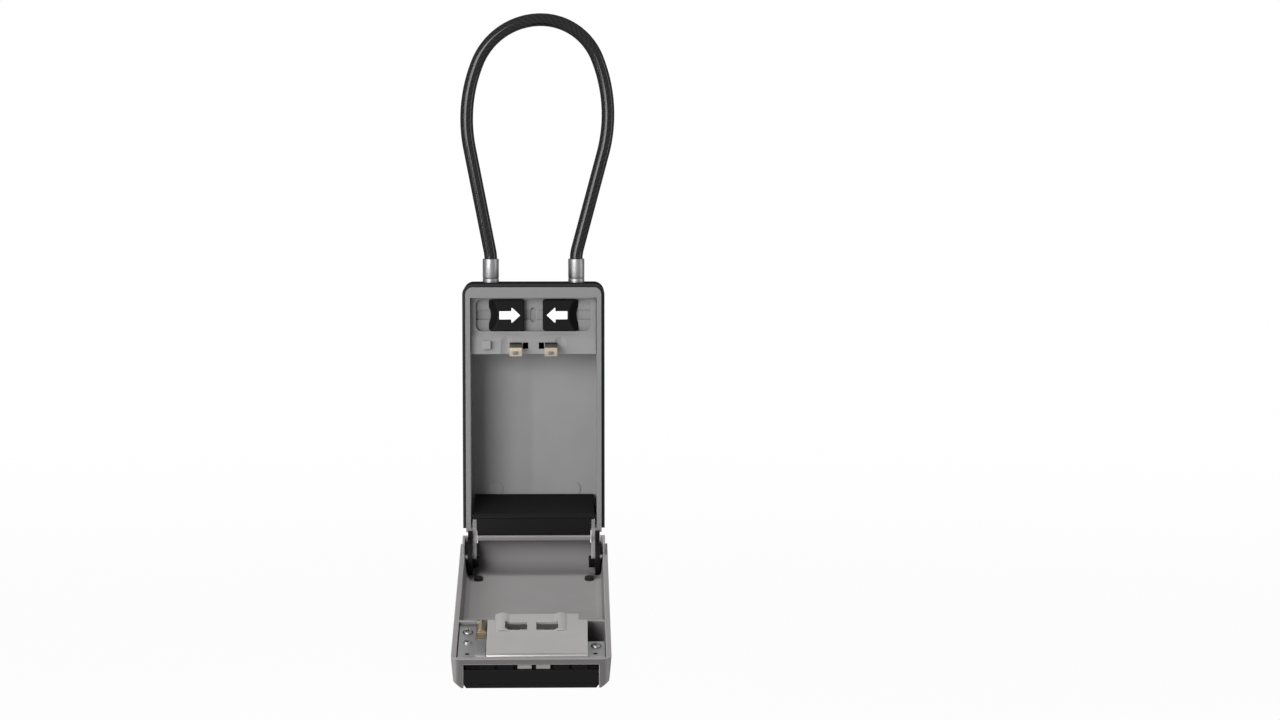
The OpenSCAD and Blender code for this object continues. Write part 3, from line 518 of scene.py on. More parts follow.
class Effects:
    """The shader groups that more than one finish uses, each built once."""

    # How nearly the softened normal agrees with a face's own, off an edge and on it.
    EDGE_AGREEMENT = (0.995, 0.80)
    # How much of the grain's height is noise. The rest is pits.
    NOISE_SHARE = 0.55
    # How a brushed pattern is scaled along X, Y and Z, which draws it out along X.
    DRAWN_OUT = (0.04, 1.0, 1.0)
    # One over the width of the slow streaks among brushed lines.
    STREAK_SCALE = 260.0

    def __init__(self) -> None:
        """Builds the groups."""
        self.edges = self.soft_edges()
        self.grain = self.fine_grain()
        self.brushing = self.brushed_lines()

    def soft_edges(self) -> bpy.types.NodeTree:
        """Softens the shading along edges and marks where they are, for edge colour that is partly wear and
        partly a painted highlight.

        Returns:
            A group with Radius in, and Normal and Edge out.
        """
        g = Effect("Soft Edges", {"Radius": 0.0004}, ["Edge"], normal=True)
        faces = g.node("ShaderNodeNewGeometry")
        bevel = g.feed(g.node("ShaderNodeBevel", samples=6), Radius=g.source.outputs["Radius"])
        dot = g.node("ShaderNodeVectorMath", operation="DOT_PRODUCT")
        g.feed(dot, bevel.outputs["Normal"], faces.outputs["True Normal"])
        edge = g.remap(dot.outputs["Value"], self.EDGE_AGREEMENT, smooth=True)
        return g.done(Edge=edge, Normal=bevel.outputs["Normal"])

    def fine_grain(self) -> bpy.types.NodeTree:
        """A fine surface texture: rounded pits with finer noise over them, and slow cloudy shading.

        Returns:
            A group with Size and Cloud Size in, and Height, Cloud and Speck out.
        """
        g = Effect("Fine Grain", {"Size": 0.0004, "Cloud Size": 0.02}, ["Height", "Cloud", "Speck"])
        place = g.node("ShaderNodeTexCoord").outputs["Object"]
        fine = g.scale("Size")
        pits = g.node("ShaderNodeTexVoronoi", feature="SMOOTH_F1")
        g.feed(pits, Vector=place, Scale=fine, Smoothness=0.6)
        speck = g.noise(place, fine, detail=5.0, roughness=0.62)
        mix = g.feed(g.node("ShaderNodeMix"), Factor=self.NOISE_SHARE, A=pits.outputs["Distance"], B=speck)
        cloud = g.noise(place, g.scale("Cloud Size"), detail=3.0)
        return g.done(Height=mix.outputs["Result"], Cloud=cloud, Speck=speck)

    def brushed_lines(self) -> bpy.types.NodeTree:
        """Fine parallel lines that a brush or a rolling mill leaves, along X, with slow streaks among them.

        Returns:
            A group with Line in, and Height and Streak out.
        """
        g = Effect("Brushed Lines", {"Line": 0.0002}, ["Height", "Streak"])
        place = g.node("ShaderNodeTexCoord").outputs["Object"]
        drawn_out = g.feed(g.node("ShaderNodeMapping"), Vector=place, Scale=self.DRAWN_OUT)
        lines = g.noise(drawn_out.outputs["Vector"], g.scale("Line"), detail=4.0)
        streaks = g.noise(drawn_out.outputs["Vector"], self.STREAK_SCALE, detail=2.0)
        return g.done(Height=lines, Streak=streaks)


class Mixing(Wiring):
    """One material under construction, with its Principled shader."""

    # Between these values of Facing a surface goes from facing the eye to being seen edge on.
    FACING = (0.15, 0.75)
    # Nearly all of a noise lies between these values.
    NOISE = (0.3, 0.7)
    # Half of the depth over which a front begins.
    FRONT_BAND = 0.3 * MM
    # The Y of a normal that begins to count as looking forward, and of one that does so fully.
    FORWARD = (-0.8, -0.95)

    def __init__(self, name: str) -> None:
        """Starts a material that holds one Principled shader.

        Args:
            name: The material's name.
        """
        self.material = bpy.data.materials.new(name)
        self.material.use_nodes = True
        super().__init__(self.material.node_tree)
        self.shader = self.first("BSDF_PRINCIPLED")

    def group(self, tree: bpy.types.NodeTree, **sizes: float) -> bpy.types.NodeOutputs:
        """Places a shared group with its own sizes and gives back its outputs."""
        return self.feed(self.node("ShaderNodeGroup", node_tree=tree), **sizes).outputs

    def limb(self, middle: float, rim: float) -> Socket:
        """A value that goes from one where a surface faces the eye to another where it is seen edge on."""
        turn = self.feed(self.node("ShaderNodeLayerWeight"), Blend=0.5)
        return self.remap(turn.outputs["Facing"], self.FACING, (middle, rim))

    def spread(self, mask: Socket, low: float, high: float) -> Socket:
        """Stretches the middle of a noise over a range of values."""
        return self.remap(mask, self.NOISE, (low, high))

    def tint(self, mask: Socket, first: Colour, second: Colour) -> Socket:
        """Blends two colours by a mask.

        Args:
            mask: Zero for the first colour and one for the second.
            first: The first colour.
            second: The second colour.

        Returns:
            The blended colour.
        """
        ramp = self.feed(self.node("ShaderNodeValToRGB"), Fac=mask)
        for element, colour in zip(ramp.color_ramp.elements, (first, second)):
            element.color = (*colour, 1.0)
        return ramp.outputs["Color"]

    def over(self, below: Socket, colour: Colour, mask: Socket, amount: float) -> Socket:
        """Lays a colour over another where a mask says so.

        Args:
            below: The colour underneath.
            colour: The colour laid over it.
            mask: Where it is laid.
            amount: How much of it at most.

        Returns:
            The mixed colour.
        """
        mix = self.node("ShaderNodeMix", data_type="RGBA")
        under, laid = (socket for socket in mix.inputs if socket.type == "RGBA")
        laid.default_value = (*colour, 1.0)
        self.tree.links.new(below, under)
        self.feed(mix, Factor=self.math("MULTIPLY", mask, amount))
        return next(socket for socket in mix.outputs if socket.type == "RGBA")

    def front_face(self, start: float) -> Socket:
        """Masks the faces that look forward and lie at the front of a piece, where a painted shade goes.

        Args:
            start: Where the front begins, along the piece's own depth.

        Returns:
            One on those faces and zero elsewhere.
        """
        place = self.node("ShaderNodeTexCoord").outputs
        spans = {"Object": (start + self.FRONT_BAND, start - self.FRONT_BAND), "Normal": self.FORWARD}
        masks = []
        for output, span in spans.items():
            parts = self.feed(self.node("ShaderNodeSeparateXYZ"), Vector=place[output])
            masks.append(self.remap(parts.outputs["Y"], span))
        return self.math("MULTIPLY", *masks)

    def relief(self, height: Socket, depth: float, normal: Socket | None = None) -> Socket:
        """Turns a height into a bump of a real depth.

        Args:
            height: The height, from zero to one.
            depth: What a height of one stands for.
            normal: The normal that it starts from, or None for the surface's own.

        Returns:
            The bumped normal.
        """
        start = {} if normal is None else {"Normal": normal}
        bump = self.feed(self.node("ShaderNodeBump"), Strength=1.0, Distance=depth, Height=height, **start)
        return bump.outputs["Normal"]


# ---- Finishes ------------------------------------------------------------------------------------------


@dataclass(frozen=True)
class Finish:
    """What every finish has.

    Attributes:
        name: The material's name.
        colour: The colour that it has on the whole.
        roughness: The roughness that it has on the whole.
        wander: How far the roughness goes below and above that from place to place.
        cloud: The size of its slow, cloudy changes.
    """

    name: str
    colour: Colour
    roughness: float = 0.4
    wander: Span = (-0.06, 0.06)
    cloud: float = 0.018

    def shade(self, factor: float) -> Colour:
        """The colour made lighter or darker by a factor."""
        return tuple(min(1.0, part * factor) for part in self.colour)

    def uneven_roughness(self, m: Mixing, mask: Socket) -> Socket:
        """The roughness as it wanders with a mask."""
        return m.spread(mask, self.roughness + self.wander[0], self.roughness + self.wander[1])

    def material(self, effects: Effects) -> bpy.types.Material:
        """Builds the finish's material, which each kind of finish does in its own way."""
        raise NotImplementedError


@dataclass(frozen=True)
class CastPaint(Finish):
    """Satin paint on die-cast metal: a fine sandy film, lighter along edges partly from wear and partly as a
    painted highlight, with a painted shade on its front faces.

    Attributes:
        mottle: How much lighter or darker the film is from place to place.
        grain: The size of its grains.
        depth: How high they stand.
        edge_radius: How far an edge's softness reaches.
        edge_light: How much of the edge's lighter colour shows, which is partly wear and partly a painted
            highlight.
        edge_gain: How many times lighter that colour is.
        specular: Its mirror strength where it faces the eye.
        rim_specular: The share of that strength where it is seen edge on.
        handled: The share of its colour that the front keeps, a painted shade on the faces that look forward.
        handled_from: Where the front with its painted shade begins.
    """

    roughness: float = 0.42
    wander: Span = (-0.05, 0.07)
    mottle: float = 0.07
    grain: float = 0.00035
    depth: float = 0.000012
    edge_radius: float = 0.0004
    edge_light: float = 0.35
    edge_gain: float = 1.7
    specular: float = 0.13
    rim_specular: float = 0.1
    handled: float = 1.0
    handled_from: float = 0.0

    def material(self, effects: Effects) -> bpy.types.Material:
        """Builds the paint's material.

        Args:
            effects: The shared shader groups.

        Returns:
            The material.
        """
        m = Mixing(self.name)
        film = m.group(effects.grain, Size=self.grain, Cloud_Size=self.cloud)
        edges = m.group(effects.edges, Radius=self.edge_radius)
        base = m.tint(film["Cloud"], self.shade(1 - self.mottle), self.shade(1 + self.mottle))
        # Painted shade: the front faces keep only the handled share of the colour.
        if self.handled < 1.0:
            base = m.over(base, self.shade(self.handled), m.front_face(self.handled_from), 1.0)
        m.feed(
            m.shader,
            # Partly wear, partly painted highlight: edges are lightened by edge_gain.
            Base_Color=m.over(base, self.shade(self.edge_gain), edges["Edge"], self.edge_light),
            Roughness=self.uneven_roughness(m, film["Speck"]),
            Specular_IOR_Level=m.limb(self.specular, self.rim_specular * self.specular),
            Normal=m.relief(film["Height"], self.depth, edges["Normal"]),
        )
        return m.material


@dataclass(frozen=True)
class Moulded(CastPaint):
    """Moulded plastic with the spark-eroded texture of its mould, rubbed smoother and lighter along edges,
    the lighter colour being partly wear and partly a painted highlight.
    """

    roughness: float = 0.45
    grain: float = 0.0005
    depth: float = 0.00002
    edge_light: float = 0.5
    edge_gain: float = 7.0
    specular: float = 0.05


@dataclass(frozen=True)
class SoftSkin(Finish):
    """Soft rubbery skin: a dry sheen, a fine grain and faint handling marks.

    Attributes:
        marks: The shares of its colour that the handling marks go between.
        grain: The size of its grains.
        depth: How high they stand.
        sheen: The strength of its sheen.
        sheen_roughness: How broad the sheen is.
        specular: Its mirror strength where it faces the eye, which fades to none at the rim.
    """

    roughness: float = 0.62
    cloud: float = 0.03
    marks: Span = (0.8, 1.25)
    grain: float = 0.0006
    depth: float = 0.00003
    sheen: float = 0.05
    sheen_roughness: float = 0.4
    specular: float = 0.25

    def material(self, effects: Effects) -> bpy.types.Material:
        """Builds the skin's material.

        Args:
            effects: The shared shader groups.

        Returns:
            The material.
        """
        m = Mixing(self.name)
        skin = m.group(effects.grain, Size=self.grain, Cloud_Size=self.cloud)
        m.feed(
            m.shader,
            Base_Color=m.tint(skin["Cloud"], self.shade(self.marks[0]), self.shade(self.marks[1])),
            Roughness=self.uneven_roughness(m, skin["Cloud"]),
            Specular_IOR_Level=m.limb(self.specular, 0.0),
            Sheen_Weight=self.sheen,
            Sheen_Roughness=self.sheen_roughness,
            Normal=m.relief(skin["Height"], self.depth),
        )
        return m.material


@dataclass(frozen=True)
class Plated(Finish):
    """Plated or bare metal with fine rolling lines, slow changes of tint and gloss, and a painted dark
    reflection toward its rim.

    Attributes:
        line: The width of the rolling lines.
        depth: How deep they are.
        edge_radius: How far an edge's softness reaches.
        tarnish: How much darker the dark streaks are. The light ones are lighter by half as much.
        dark_limb: How much of the painted dark reflection shows where the metal turns away from the eye.
        dark: The share of its colour that the painted dark reflection keeps.
    """

    roughness: float = 0.3
    wander: Span = (-0.06, 0.08)
    line: float = 0.0002
    depth: float = 0.000004
    edge_radius: float = 0.0002
    tarnish: float = 0.12
    dark_limb: float = 0.5
    dark: float = 0.12

    def material(self, effects: Effects) -> bpy.types.Material:
        """Builds the metal's material.

        Args:
            effects: The shared shader groups.

        Returns:
            The material.
        """
        m = Mixing(self.name)
        lines = m.group(effects.brushing, Line=self.line)
        edges = m.group(effects.edges, Radius=self.edge_radius)
        sheet = m.tint(lines["Streak"], self.shade(1 - self.tarnish), self.shade(1 + self.tarnish / 2))
        m.feed(
            m.shader,
            # Painted reflection: the colour darkens where the metal turns away from the eye.
            Base_Color=m.over(sheet, self.shade(self.dark), m.limb(0.0, 1.0), self.dark_limb),
            Roughness=self.uneven_roughness(m, lines["Streak"]),
            Metallic=1.0,
            Normal=m.relief(lines["Height"], self.depth, edges["Normal"]),
        )
        return m.material


@dataclass(frozen=True)
class TwistedCable(Finish):
    """Steel strands under a glossy black coating. The strands' lay shows faintly through the gloss, as
    painted shade between the strands and painted highlight on them.

    The strands follow the cable's own map: their phase is the strands times the turn round the cable plus
    turns * strands / 2 times the share of the way along it, and each rises and falls once in a whole phase.

    Attributes:
        strands: How many strands lie side by side.
        turns: How many half turns a strand makes on its way.
        hollow: The share of the colour between the strands, a painted shade in the grooves.
        crown: The share of the colour on top of them, a painted highlight on the strands.
        depth: How high they stand.
        grain: The size of the coating's grains.
        specular: The strands' mirror strength.
        coat: The weight of the gloss over them.
        coat_roughness: Its roughness.
    """

    roughness: float = 0.36
    cloud: float = 0.012
    strands: int = 7
    turns: float = 26.0
    hollow: float = 0.3
    crown: float = 2.6
    depth: float = 0.000008
    grain: float = 0.0008
    specular: float = 0.015
    coat: float = 0.5
    coat_roughness: float = 0.12

    def material(self, effects: Effects) -> bpy.types.Material:
        """Builds the cable's material.

        Args:
            effects: The shared shader groups.

        Returns:
            The material.
        """
        m = Mixing(self.name)
        place = m.node("ShaderNodeUVMap", uv_map="Lay")
        lay = m.node("ShaderNodeMapping")
        m.feed(lay, Vector=place.outputs["UV"], Scale=(self.strands, self.turns * self.strands / 2, 1.0))
        parts = m.feed(m.node("ShaderNodeSeparateXYZ"), Vector=lay.outputs["Vector"]).outputs
        half = 0.5
        saw = m.math("PINGPONG", m.math("ADD", parts["X"], parts["Y"]), half)
        rise = m.remap(saw, (0.0, half), smooth=True)
        film = m.group(effects.grain, Size=self.grain, Cloud_Size=self.cloud)
        m.feed(
            m.shader,
            # Painted shade between the strands and painted highlight on their tops.
            Base_Color=m.tint(rise, self.shade(self.hollow), self.shade(self.crown)),
            Roughness=self.uneven_roughness(m, film["Cloud"]),
            Normal=m.relief(rise, self.depth),
            Specular_IOR_Level=m.limb(self.specular, 0.0),
            Coat_Weight=m.limb(self.coat, 0.0),
            Coat_Roughness=self.coat_roughness,
            Coat_Normal=m.node("ShaderNodeNewGeometry").outputs["Normal"],
        )
        return m.material


class Finishes(Enum):
    """Every finish of the lock box, by the kind of piece that it is on."""

    JACKET = SoftSkin("soft jacket skin", (0.014, 0.014, 0.015), sheen=0.0, specular=0.16)
    # The housing's front rim carries a painted shade.
    HOUSING = CastPaint(
        "housing paint", (0.232, 0.231, 0.233), edge_light=0.25, handled=0.72, handled_from=-0.0334
    )
    PANEL = CastPaint("release panel plastic", (0.215, 0.214, 0.216), roughness=0.38)
    # The door's front faces carry a painted shade.
    DOOR = CastPaint(
        "door paint",
        (0.195, 0.189, 0.188),
        roughness=0.40,
        edge_light=0.9,
        edge_radius=0.0008,
        edge_gain=2.1,
        handled=0.5,
        handled_from=-0.180,
    )
    BLACK = Moulded("black moulded plastic", (0.007, 0.007, 0.0075))
    SHUTTER = Moulded("shutter plastic", (0.007, 0.007, 0.0075), roughness=0.38)
    DIAL = Moulded("dial plastic", (0.012, 0.012, 0.013), roughness=0.35)
    INLAY = Moulded("white inlay", (0.97, 0.97, 0.95), roughness=0.4, edge_light=0.0, edge_gain=1.0)
    # The saddles' grey is darker than their own pale plastic, as a painted shade of the recess they sit in.
    SADDLE = Moulded("pale saddle plastic", (0.24, 0.237, 0.232), edge_light=0.1, edge_gain=1.5)
    CABLE = TwistedCable("coated cable", (0.003, 0.003, 0.0032))
    FERRULE = Plated(
        "bright ferrule",
        (0.22, 0.22, 0.225),
        roughness=0.40,
        depth=0.0000002,
        edge_radius=0.00002,
        tarnish=0.05,
        dark_limb=0.9,
    )
    # Bare metal where the paint is worn through, made lighter still as a painted highlight along the rolled
    # edge.
    WORN_EDGE = Plated("worn cover edge", (0.42, 0.41, 0.405), roughness=0.36, tarnish=0.06, dark_limb=0.1)
    SCREW = Plated(
        "screw steel", (0.22, 0.22, 0.225), roughness=0.34, depth=0.000001, tarnish=0.3, dark_limb=0.85
    )
    # The cover paint is a lighter copy of the door's grey, as painted light on the upward cover; the door
    # paint is darker than that grey as a painted shade.
    COVER = CastPaint(
        "cover paint", (0.262, 0.252, 0.251), roughness=0.40, edge_light=0.9, edge_radius=0.0005
    )
    STEEL = Plated("plated steel", (0.56, 0.56, 0.56), roughness=0.34)
    STRIKE = Plated("nickel plated strike", (0.36, 0.31, 0.24), roughness=0.34, tarnish=0.3)
    ZINC = Plated("bright zinc", (0.52, 0.52, 0.53), roughness=0.36)
    BRASS = Plated("satin brass", (0.40, 0.335, 0.235), roughness=0.36)
    RUBBER = SoftSkin("bumper rubber", (0.012, 0.012, 0.012), roughness=0.8)


@dataclass
class Bench:
    """What every sub-assembly works with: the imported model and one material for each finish."""

    frame: dict
    materials: dict[Finishes, bpy.types.Material] = field(init=False)

    def __post_init__(self) -> None:
        """Builds every finish's material."""
        effects = Effects()
        self.materials = {finish: finish.value.material(effects) for finish in Finishes}

    def box(self, node: str) -> Box:
        """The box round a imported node."""
        low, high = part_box(node)
        return Box(np.array(low, float), np.array(high, float))

    def joint(self, name: str) -> dict:
        """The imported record's entry for a joint."""
        return next(joint for joint in self.frame["joints"] if joint["name"] == name)

    def coat(self, piece: bpy.types.Object, finish: Finishes) -> None:
        """Puts a finish on a whole piece.

        Args:
            piece: The piece.
            finish: Its finish.
        """
        if not piece.material_slots:
            piece.data.materials.append(self.materials[finish])
        for slot in piece.material_slots:
            slot.material = self.materials[finish]

    def dress(self, finish: Finishes, *nodes: str) -> None:
        """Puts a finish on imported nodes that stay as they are.

        Args:
            finish: The finish.
            nodes: The nodes' names.
        """
        for node in nodes:
            self.coat(self.frame["nodes"][node], finish)
            LOG.info("%s keeps its solid and gets the finish %s", node, finish.value.name)

    def place(self, piece: bpy.types.Object, finish: Finishes, slot: str, body: str, *nodes: str) -> None:
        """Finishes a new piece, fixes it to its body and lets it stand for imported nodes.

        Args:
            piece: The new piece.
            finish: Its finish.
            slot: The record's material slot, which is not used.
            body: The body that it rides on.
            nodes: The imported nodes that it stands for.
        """
        self.coat(piece, finish)
        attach(piece, body)
        if nodes:
            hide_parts(*nodes)
        LOG.info("%s rides on %s with %d faces", piece.name, body, len(piece.data.polygons))


# ---- Sub-assemblies ------------------------------------------------------------------------------------


@dataclass
class Housing:
    """The flat-backed housing in its soft jacket, with the release panel and the strikes.

    Attributes:
        bench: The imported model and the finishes.
        wall: The jacket's thickness.
        corner: Radius of the jacket's two upper corners.
        back_edge: Radius of its edge at the back.
        lip_edge: Radius of both edges of its front lip.
    """

    bench: Bench
    wall: float = 1.8 * MM
    corner: float = 5.8 * MM
    back_edge: float = 2.4 * MM
    lip_edge: float = 0.6 * MM

    def jacket(self) -> bpy.types.Object:
        """Builds the jacket as one skin that turns over its front lip, its side and its rounded back edge.

        The skin is the jacket's upright outline, open at the bottom, drawn in by n while its depth is y. The
        pairs of n and y run from the inside of the back wall, out to the front lip, over it in two quarter
        circles, back along the side and round the back edge in a third one.

        Returns:
            The jacket.
        """
        box = self.bench.box("jacket")
        wall, lip, edge, r = self.wall, self.lip_edge, self.back_edge, self.corner
        half, front, back, base = box.high[0], box.low[1], box.high[1], box.low[2]
        a = quarter_angles(steps=8)
        opens, closes = 1 - np.cos(a), 1 - np.sin(a)
        n = np.concatenate([[wall, wall], wall - lip * opens, lip * closes, edge * opens])
        y = np.concatenate(
            [[back - wall, front + lip], front + lip * closes, front + lip * opens, back - edge * closes]
        )
        b = quarter_angles(steps=16)
        arc = (r - n)[:, None, None] * np.stack([-np.cos(b), np.sin(b)], axis=-1)
        left = np.array([r - half, box.high[2] - r]) + arc
        foot = np.stack([n - half, np.full_like(n, base)], axis=-1)[:, None]
        flat = np.concatenate([foot, left, left[:, ::-1] * [-1, 1], foot * [-1, 1]], axis=1)
        depth = np.broadcast_to(y[:, None, None], flat.shape[:2] + (1,))
        skin = np.concatenate([flat[..., :1], depth, flat[..., 1:]], axis=-1)
        ends = np.concatenate([skin[:, 0], skin[::-1, -1]])[None]
        inside, outside = Patch(skin[:1], fill_first=True), Patch(skin[-1:], fill_last=True)
        return make_piece(
            "soft_jacket", [Patch(skin, ring=False), inside, outside, Patch(ends, fill_last=True)], sharp=40
        )

    def build(self) -> None:
        """Builds the jacket and dresses the housing's solids."""
        bench = self.bench
        bench.place(self.jacket(), Finishes.JACKET, "jacket_black", "housing", "jacket")
        bench.dress(Finishes.HOUSING, "housing_shell")
        bench.dress(Finishes.PANEL, "release_panel")
        bench.dress(Finishes.STRIKE, "strike_left", "strike_right")


@dataclass
class Shackle:
    """The coated cable loop and the two ferrules that hold its ends.

    Attributes:
        bench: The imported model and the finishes.
        foot_bend: Radius of the short bend above each ferrule.
        side_bend: Radius of the long bend of each side.
        lean: How far the left and the right leg lean out.
        shoulder: The slope at which the long bend ends.
        crown_shift: How far the crown lies from the middle.
        seat: How deep the cable goes into its ferrule.
        wall: How far a sleeve stands out past its stem.
        neck: Radius of a stem's neck.
        neck_span: Where the neck starts and ends above the stem's foot.
        stem_edge: Size of the slope at the stem's foot.
        sleeve_edge: Radius of the sleeve's lower rim.
        groove: Depth of the groove round the sleeve.
        groove_up: Where the groove starts above the jacket.
        groove_pitch: Its height for each radian of its wave.
        groove_points: Points up the wave.
        roll: The share of the sleeve's wall that each half of its rolled rim takes.
        cable_sides: Points round the cable.
        sleeve_sides: Points round a sleeve.
        stations: Points along the cable.
        foot_steps: Points along a short bend, as the loop is first drawn.
        bend_steps: Points along each longer bend.
    """

    bench: Bench
    foot_bend: float = 22 * MM
    side_bend: float = 85 * MM
    lean: Span = (math.radians(11), math.radians(15))
    shoulder: float = math.radians(22)
    crown_shift: float = 4.5 * MM
    seat: float = 6 * MM
    wall: float = 0.6 * MM
    neck: float = 2.75 * MM
    neck_span: Span = (3 * MM, 5 * MM)
    stem_edge: float = 0.8 * MM
    sleeve_edge: float = 0.3 * MM
    groove: float = 0.12 * MM
    groove_up: float = 2.2 * MM
    groove_pitch: float = 0.13 * MM
    groove_points: int = 13
    roll: float = 0.5
    cable_sides: int = 40
    sleeve_sides: int = 64
    stations: int = 420
    foot_steps: int = 24
    bend_steps: int = 90

    def half_loop(self, lean: float, crown: float, foot: float, base: float, top: float) -> Array:
        """Follows one side of the loop from its ferrule up to the crown.

        The line goes through three arcs that meet smoothly: a short bend outwards over the ferrule, a long
        bend that turns back inwards and a shoulder bend that ends level at the crown. A straight leg joins
        the first two. The leg's length and the last bend's radius bring the line to the crown's place.

        Args:
            lean: How far the straight leg leans out, in radians.
            crown: The crown's distance from the middle, toward the other side.
            foot: The ferrule's distance from the middle.
            base: Height of the ferrule's top.
            top: Height of the loop's middle line at the crown.

        Returns:
            X and Z along the line, for a side at negative X.
        """
        near, far, s = self.foot_bend, self.side_bend, self.shoulder
        rise = (top - base) - near * math.sin(lean) - far * (math.sin(s) + math.sin(lean))
        reach = crown + foot + near * (1 - math.cos(lean)) - far * (math.cos(lean) - math.cos(s))
        u, v = 1 - math.sin(s), math.cos(s)
        leg = (rise * v - reach * u) / (math.cos(lean) * v + math.sin(lean) * u)
        bend = (reach + leg * math.sin(lean)) / math.cos(s)
        h = np.linspace(0, lean, self.foot_steps)
        first = np.stack([-foot - near * (1 - np.cos(h)), base + near * np.sin(h)], axis=1)
        knee = first[-1] + leg * np.array([-math.sin(lean), math.cos(lean)])
        h = np.linspace(-lean, s, self.bend_steps)
        side = knee + far * np.stack([math.cos(lean) - np.cos(h), math.sin(lean) + np.sin(h)], axis=1)
        h = np.linspace(s, RIGHT_ANGLE, self.bend_steps)[1:]
        over = side[-1] + bend * np.stack([math.cos(s) - np.cos(h), np.sin(h) - math.sin(s)], axis=1)
        return np.vstack([[-foot, base - self.seat], first, side, over])

    def cable(self) -> bpy.types.Object:
        """Carries a circle along the loop, with a map that runs round and along it.

        A point at station s and angle b lies at the middle line plus r cos b along the line's normal in the
        loop's plane plus r sin b along Y.

        Returns:
            The cable.
        """
        box, sleeve = self.bench.box("cable"), self.bench.box("ferrule_right")
        r = box.half[1]
        foot, base, crown = sleeve.middle[0], sleeve.high[2], box.high[2] - r
        left = self.half_loop(self.lean[0], self.crown_shift, foot, base, crown)
        right = self.half_loop(self.lean[1], -self.crown_shift, foot, base, crown)
        line = evenly_spread(np.vstack([left, right[-2::-1] * [-1, 1]]), self.stations)
        ahead = np.gradient(line, axis=0)
        ahead /= np.linalg.norm(ahead, axis=1, keepdims=True)
        b = round_angles(self.cable_sides)
        x = line[:, :1] - r * np.cos(b) * ahead[:, 1:]
        z = line[:, 1:] + r * np.cos(b) * ahead[:, :1]
        y = box.middle[1] + r * np.sin(b) + 0 * x
        skin = Patch(np.stack([x, y, z], axis=-1), fill_first=True, fill_last=True)
        piece = make_piece("cable_loop", [skin])
        self.map_lay(piece.data)
        return piece

    def map_lay(self, mesh: bpy.types.Mesh) -> None:
        """Maps the cable: U is the turn round its middle line and V is the share of the way along it.

        Args:
            mesh: The cable's mesh, whose points run round the first station, then the next and so on.
        """
        point = np.arange(len(mesh.vertices))
        station, turn = point // self.cable_sides, (point % self.cable_sides) / self.cable_sides
        corners = np.empty(len(mesh.loops), dtype=np.int64)
        mesh.loops.foreach_get("vertex_index", corners)
        u, v = turn[corners], station[corners] / (self.stations - 1)
        totals = np.empty(len(mesh.polygons), dtype=np.int64)
        mesh.polygons.foreach_get("loop_total", totals)
        face = np.repeat(np.arange(len(totals)), totals)
        lowest, highest = np.full(len(totals), 2.0), np.full(len(totals), -1.0)
        np.minimum.at(lowest, face, u)
        np.maximum.at(highest, face, u)
        crosses_seam = ((highest - lowest)[face] > 0.5) & (totals[face] == 4)
        u = np.where(crosses_seam & (u < 0.5), u + 1.0, u)
        layer = mesh.uv_layers.new(name="Lay")
        layer.data.foreach_set("uv", np.stack([u, v], axis=1).ravel())

    def ferrule(self, side: Side) -> bpy.types.Object:
        """Turns a ferrule: a necked stem, a shoulder and a sleeve with a rolled rim that grips the cable.

        The groove round the sleeve is one wave: its depth is groove * (1 - cos t) for t once round.

        Args:
            side: Which ferrule.

        Returns:
            The ferrule.
        """
        box, cable = self.bench.box(f"ferrule_{side.word}"), self.bench.box("cable")
        outer, bore, foot, top = box.half[0], cable.half[1], box.low[2], box.high[2]
        shoulder = self.bench.box("jacket").high[2]
        stem, neck, edge = outer - self.wall, self.neck, self.stem_edge
        neck_low, neck_high = foot + self.neck_span[0], foot + self.neck_span[1]
        a = quarter_angles(steps=6)
        opens, closes = 1 - np.cos(a), 1 - np.sin(a)
        roll = self.roll * (outer - bore)
        t = np.linspace(0, 2 * np.pi, self.groove_points)
        wave = shoulder + self.groove_up + t * self.groove_pitch
        profile = np.vstack(
            [
                [[0, foot], [stem - edge, foot], [stem, foot + edge], [stem, neck_low], [neck, neck_low]],
                [[neck, neck_high], [stem, neck_high], [stem, shoulder]],
                np.stack([outer - self.sleeve_edge * closes, shoulder + self.sleeve_edge * opens], axis=1),
                np.stack([outer - self.groove * (1 - np.cos(t)), wave], axis=1),
                np.stack([outer - roll * opens, top - roll * closes], axis=1),
                np.stack([bore + roll * closes, top - roll * opens], axis=1),
                [[bore, top - self.seat], [0, top - self.seat]],
            ]
        )
        sleeve = lathe(profile, box.middle[0], box.middle[1], self.sleeve_sides)
        return make_piece(f"sleeve_{side.word}", [sleeve], sharp=30)

    def build(self) -> None:
        """Builds the cable and its ferrules and dresses the shackle's lock."""
        bench = self.bench
        bench.place(self.cable(), Finishes.CABLE, "cable_black", "housing", "cable")
        for side in Side:
            bench.place(
                self.ferrule(side), Finishes.FERRULE, "ferrule_chrome", "housing", f"ferrule_{side.word}"
            )
        bench.dress(Finishes.STEEL, "lock_plate_left", "lock_plate_right", "spring_left", "spring_right")


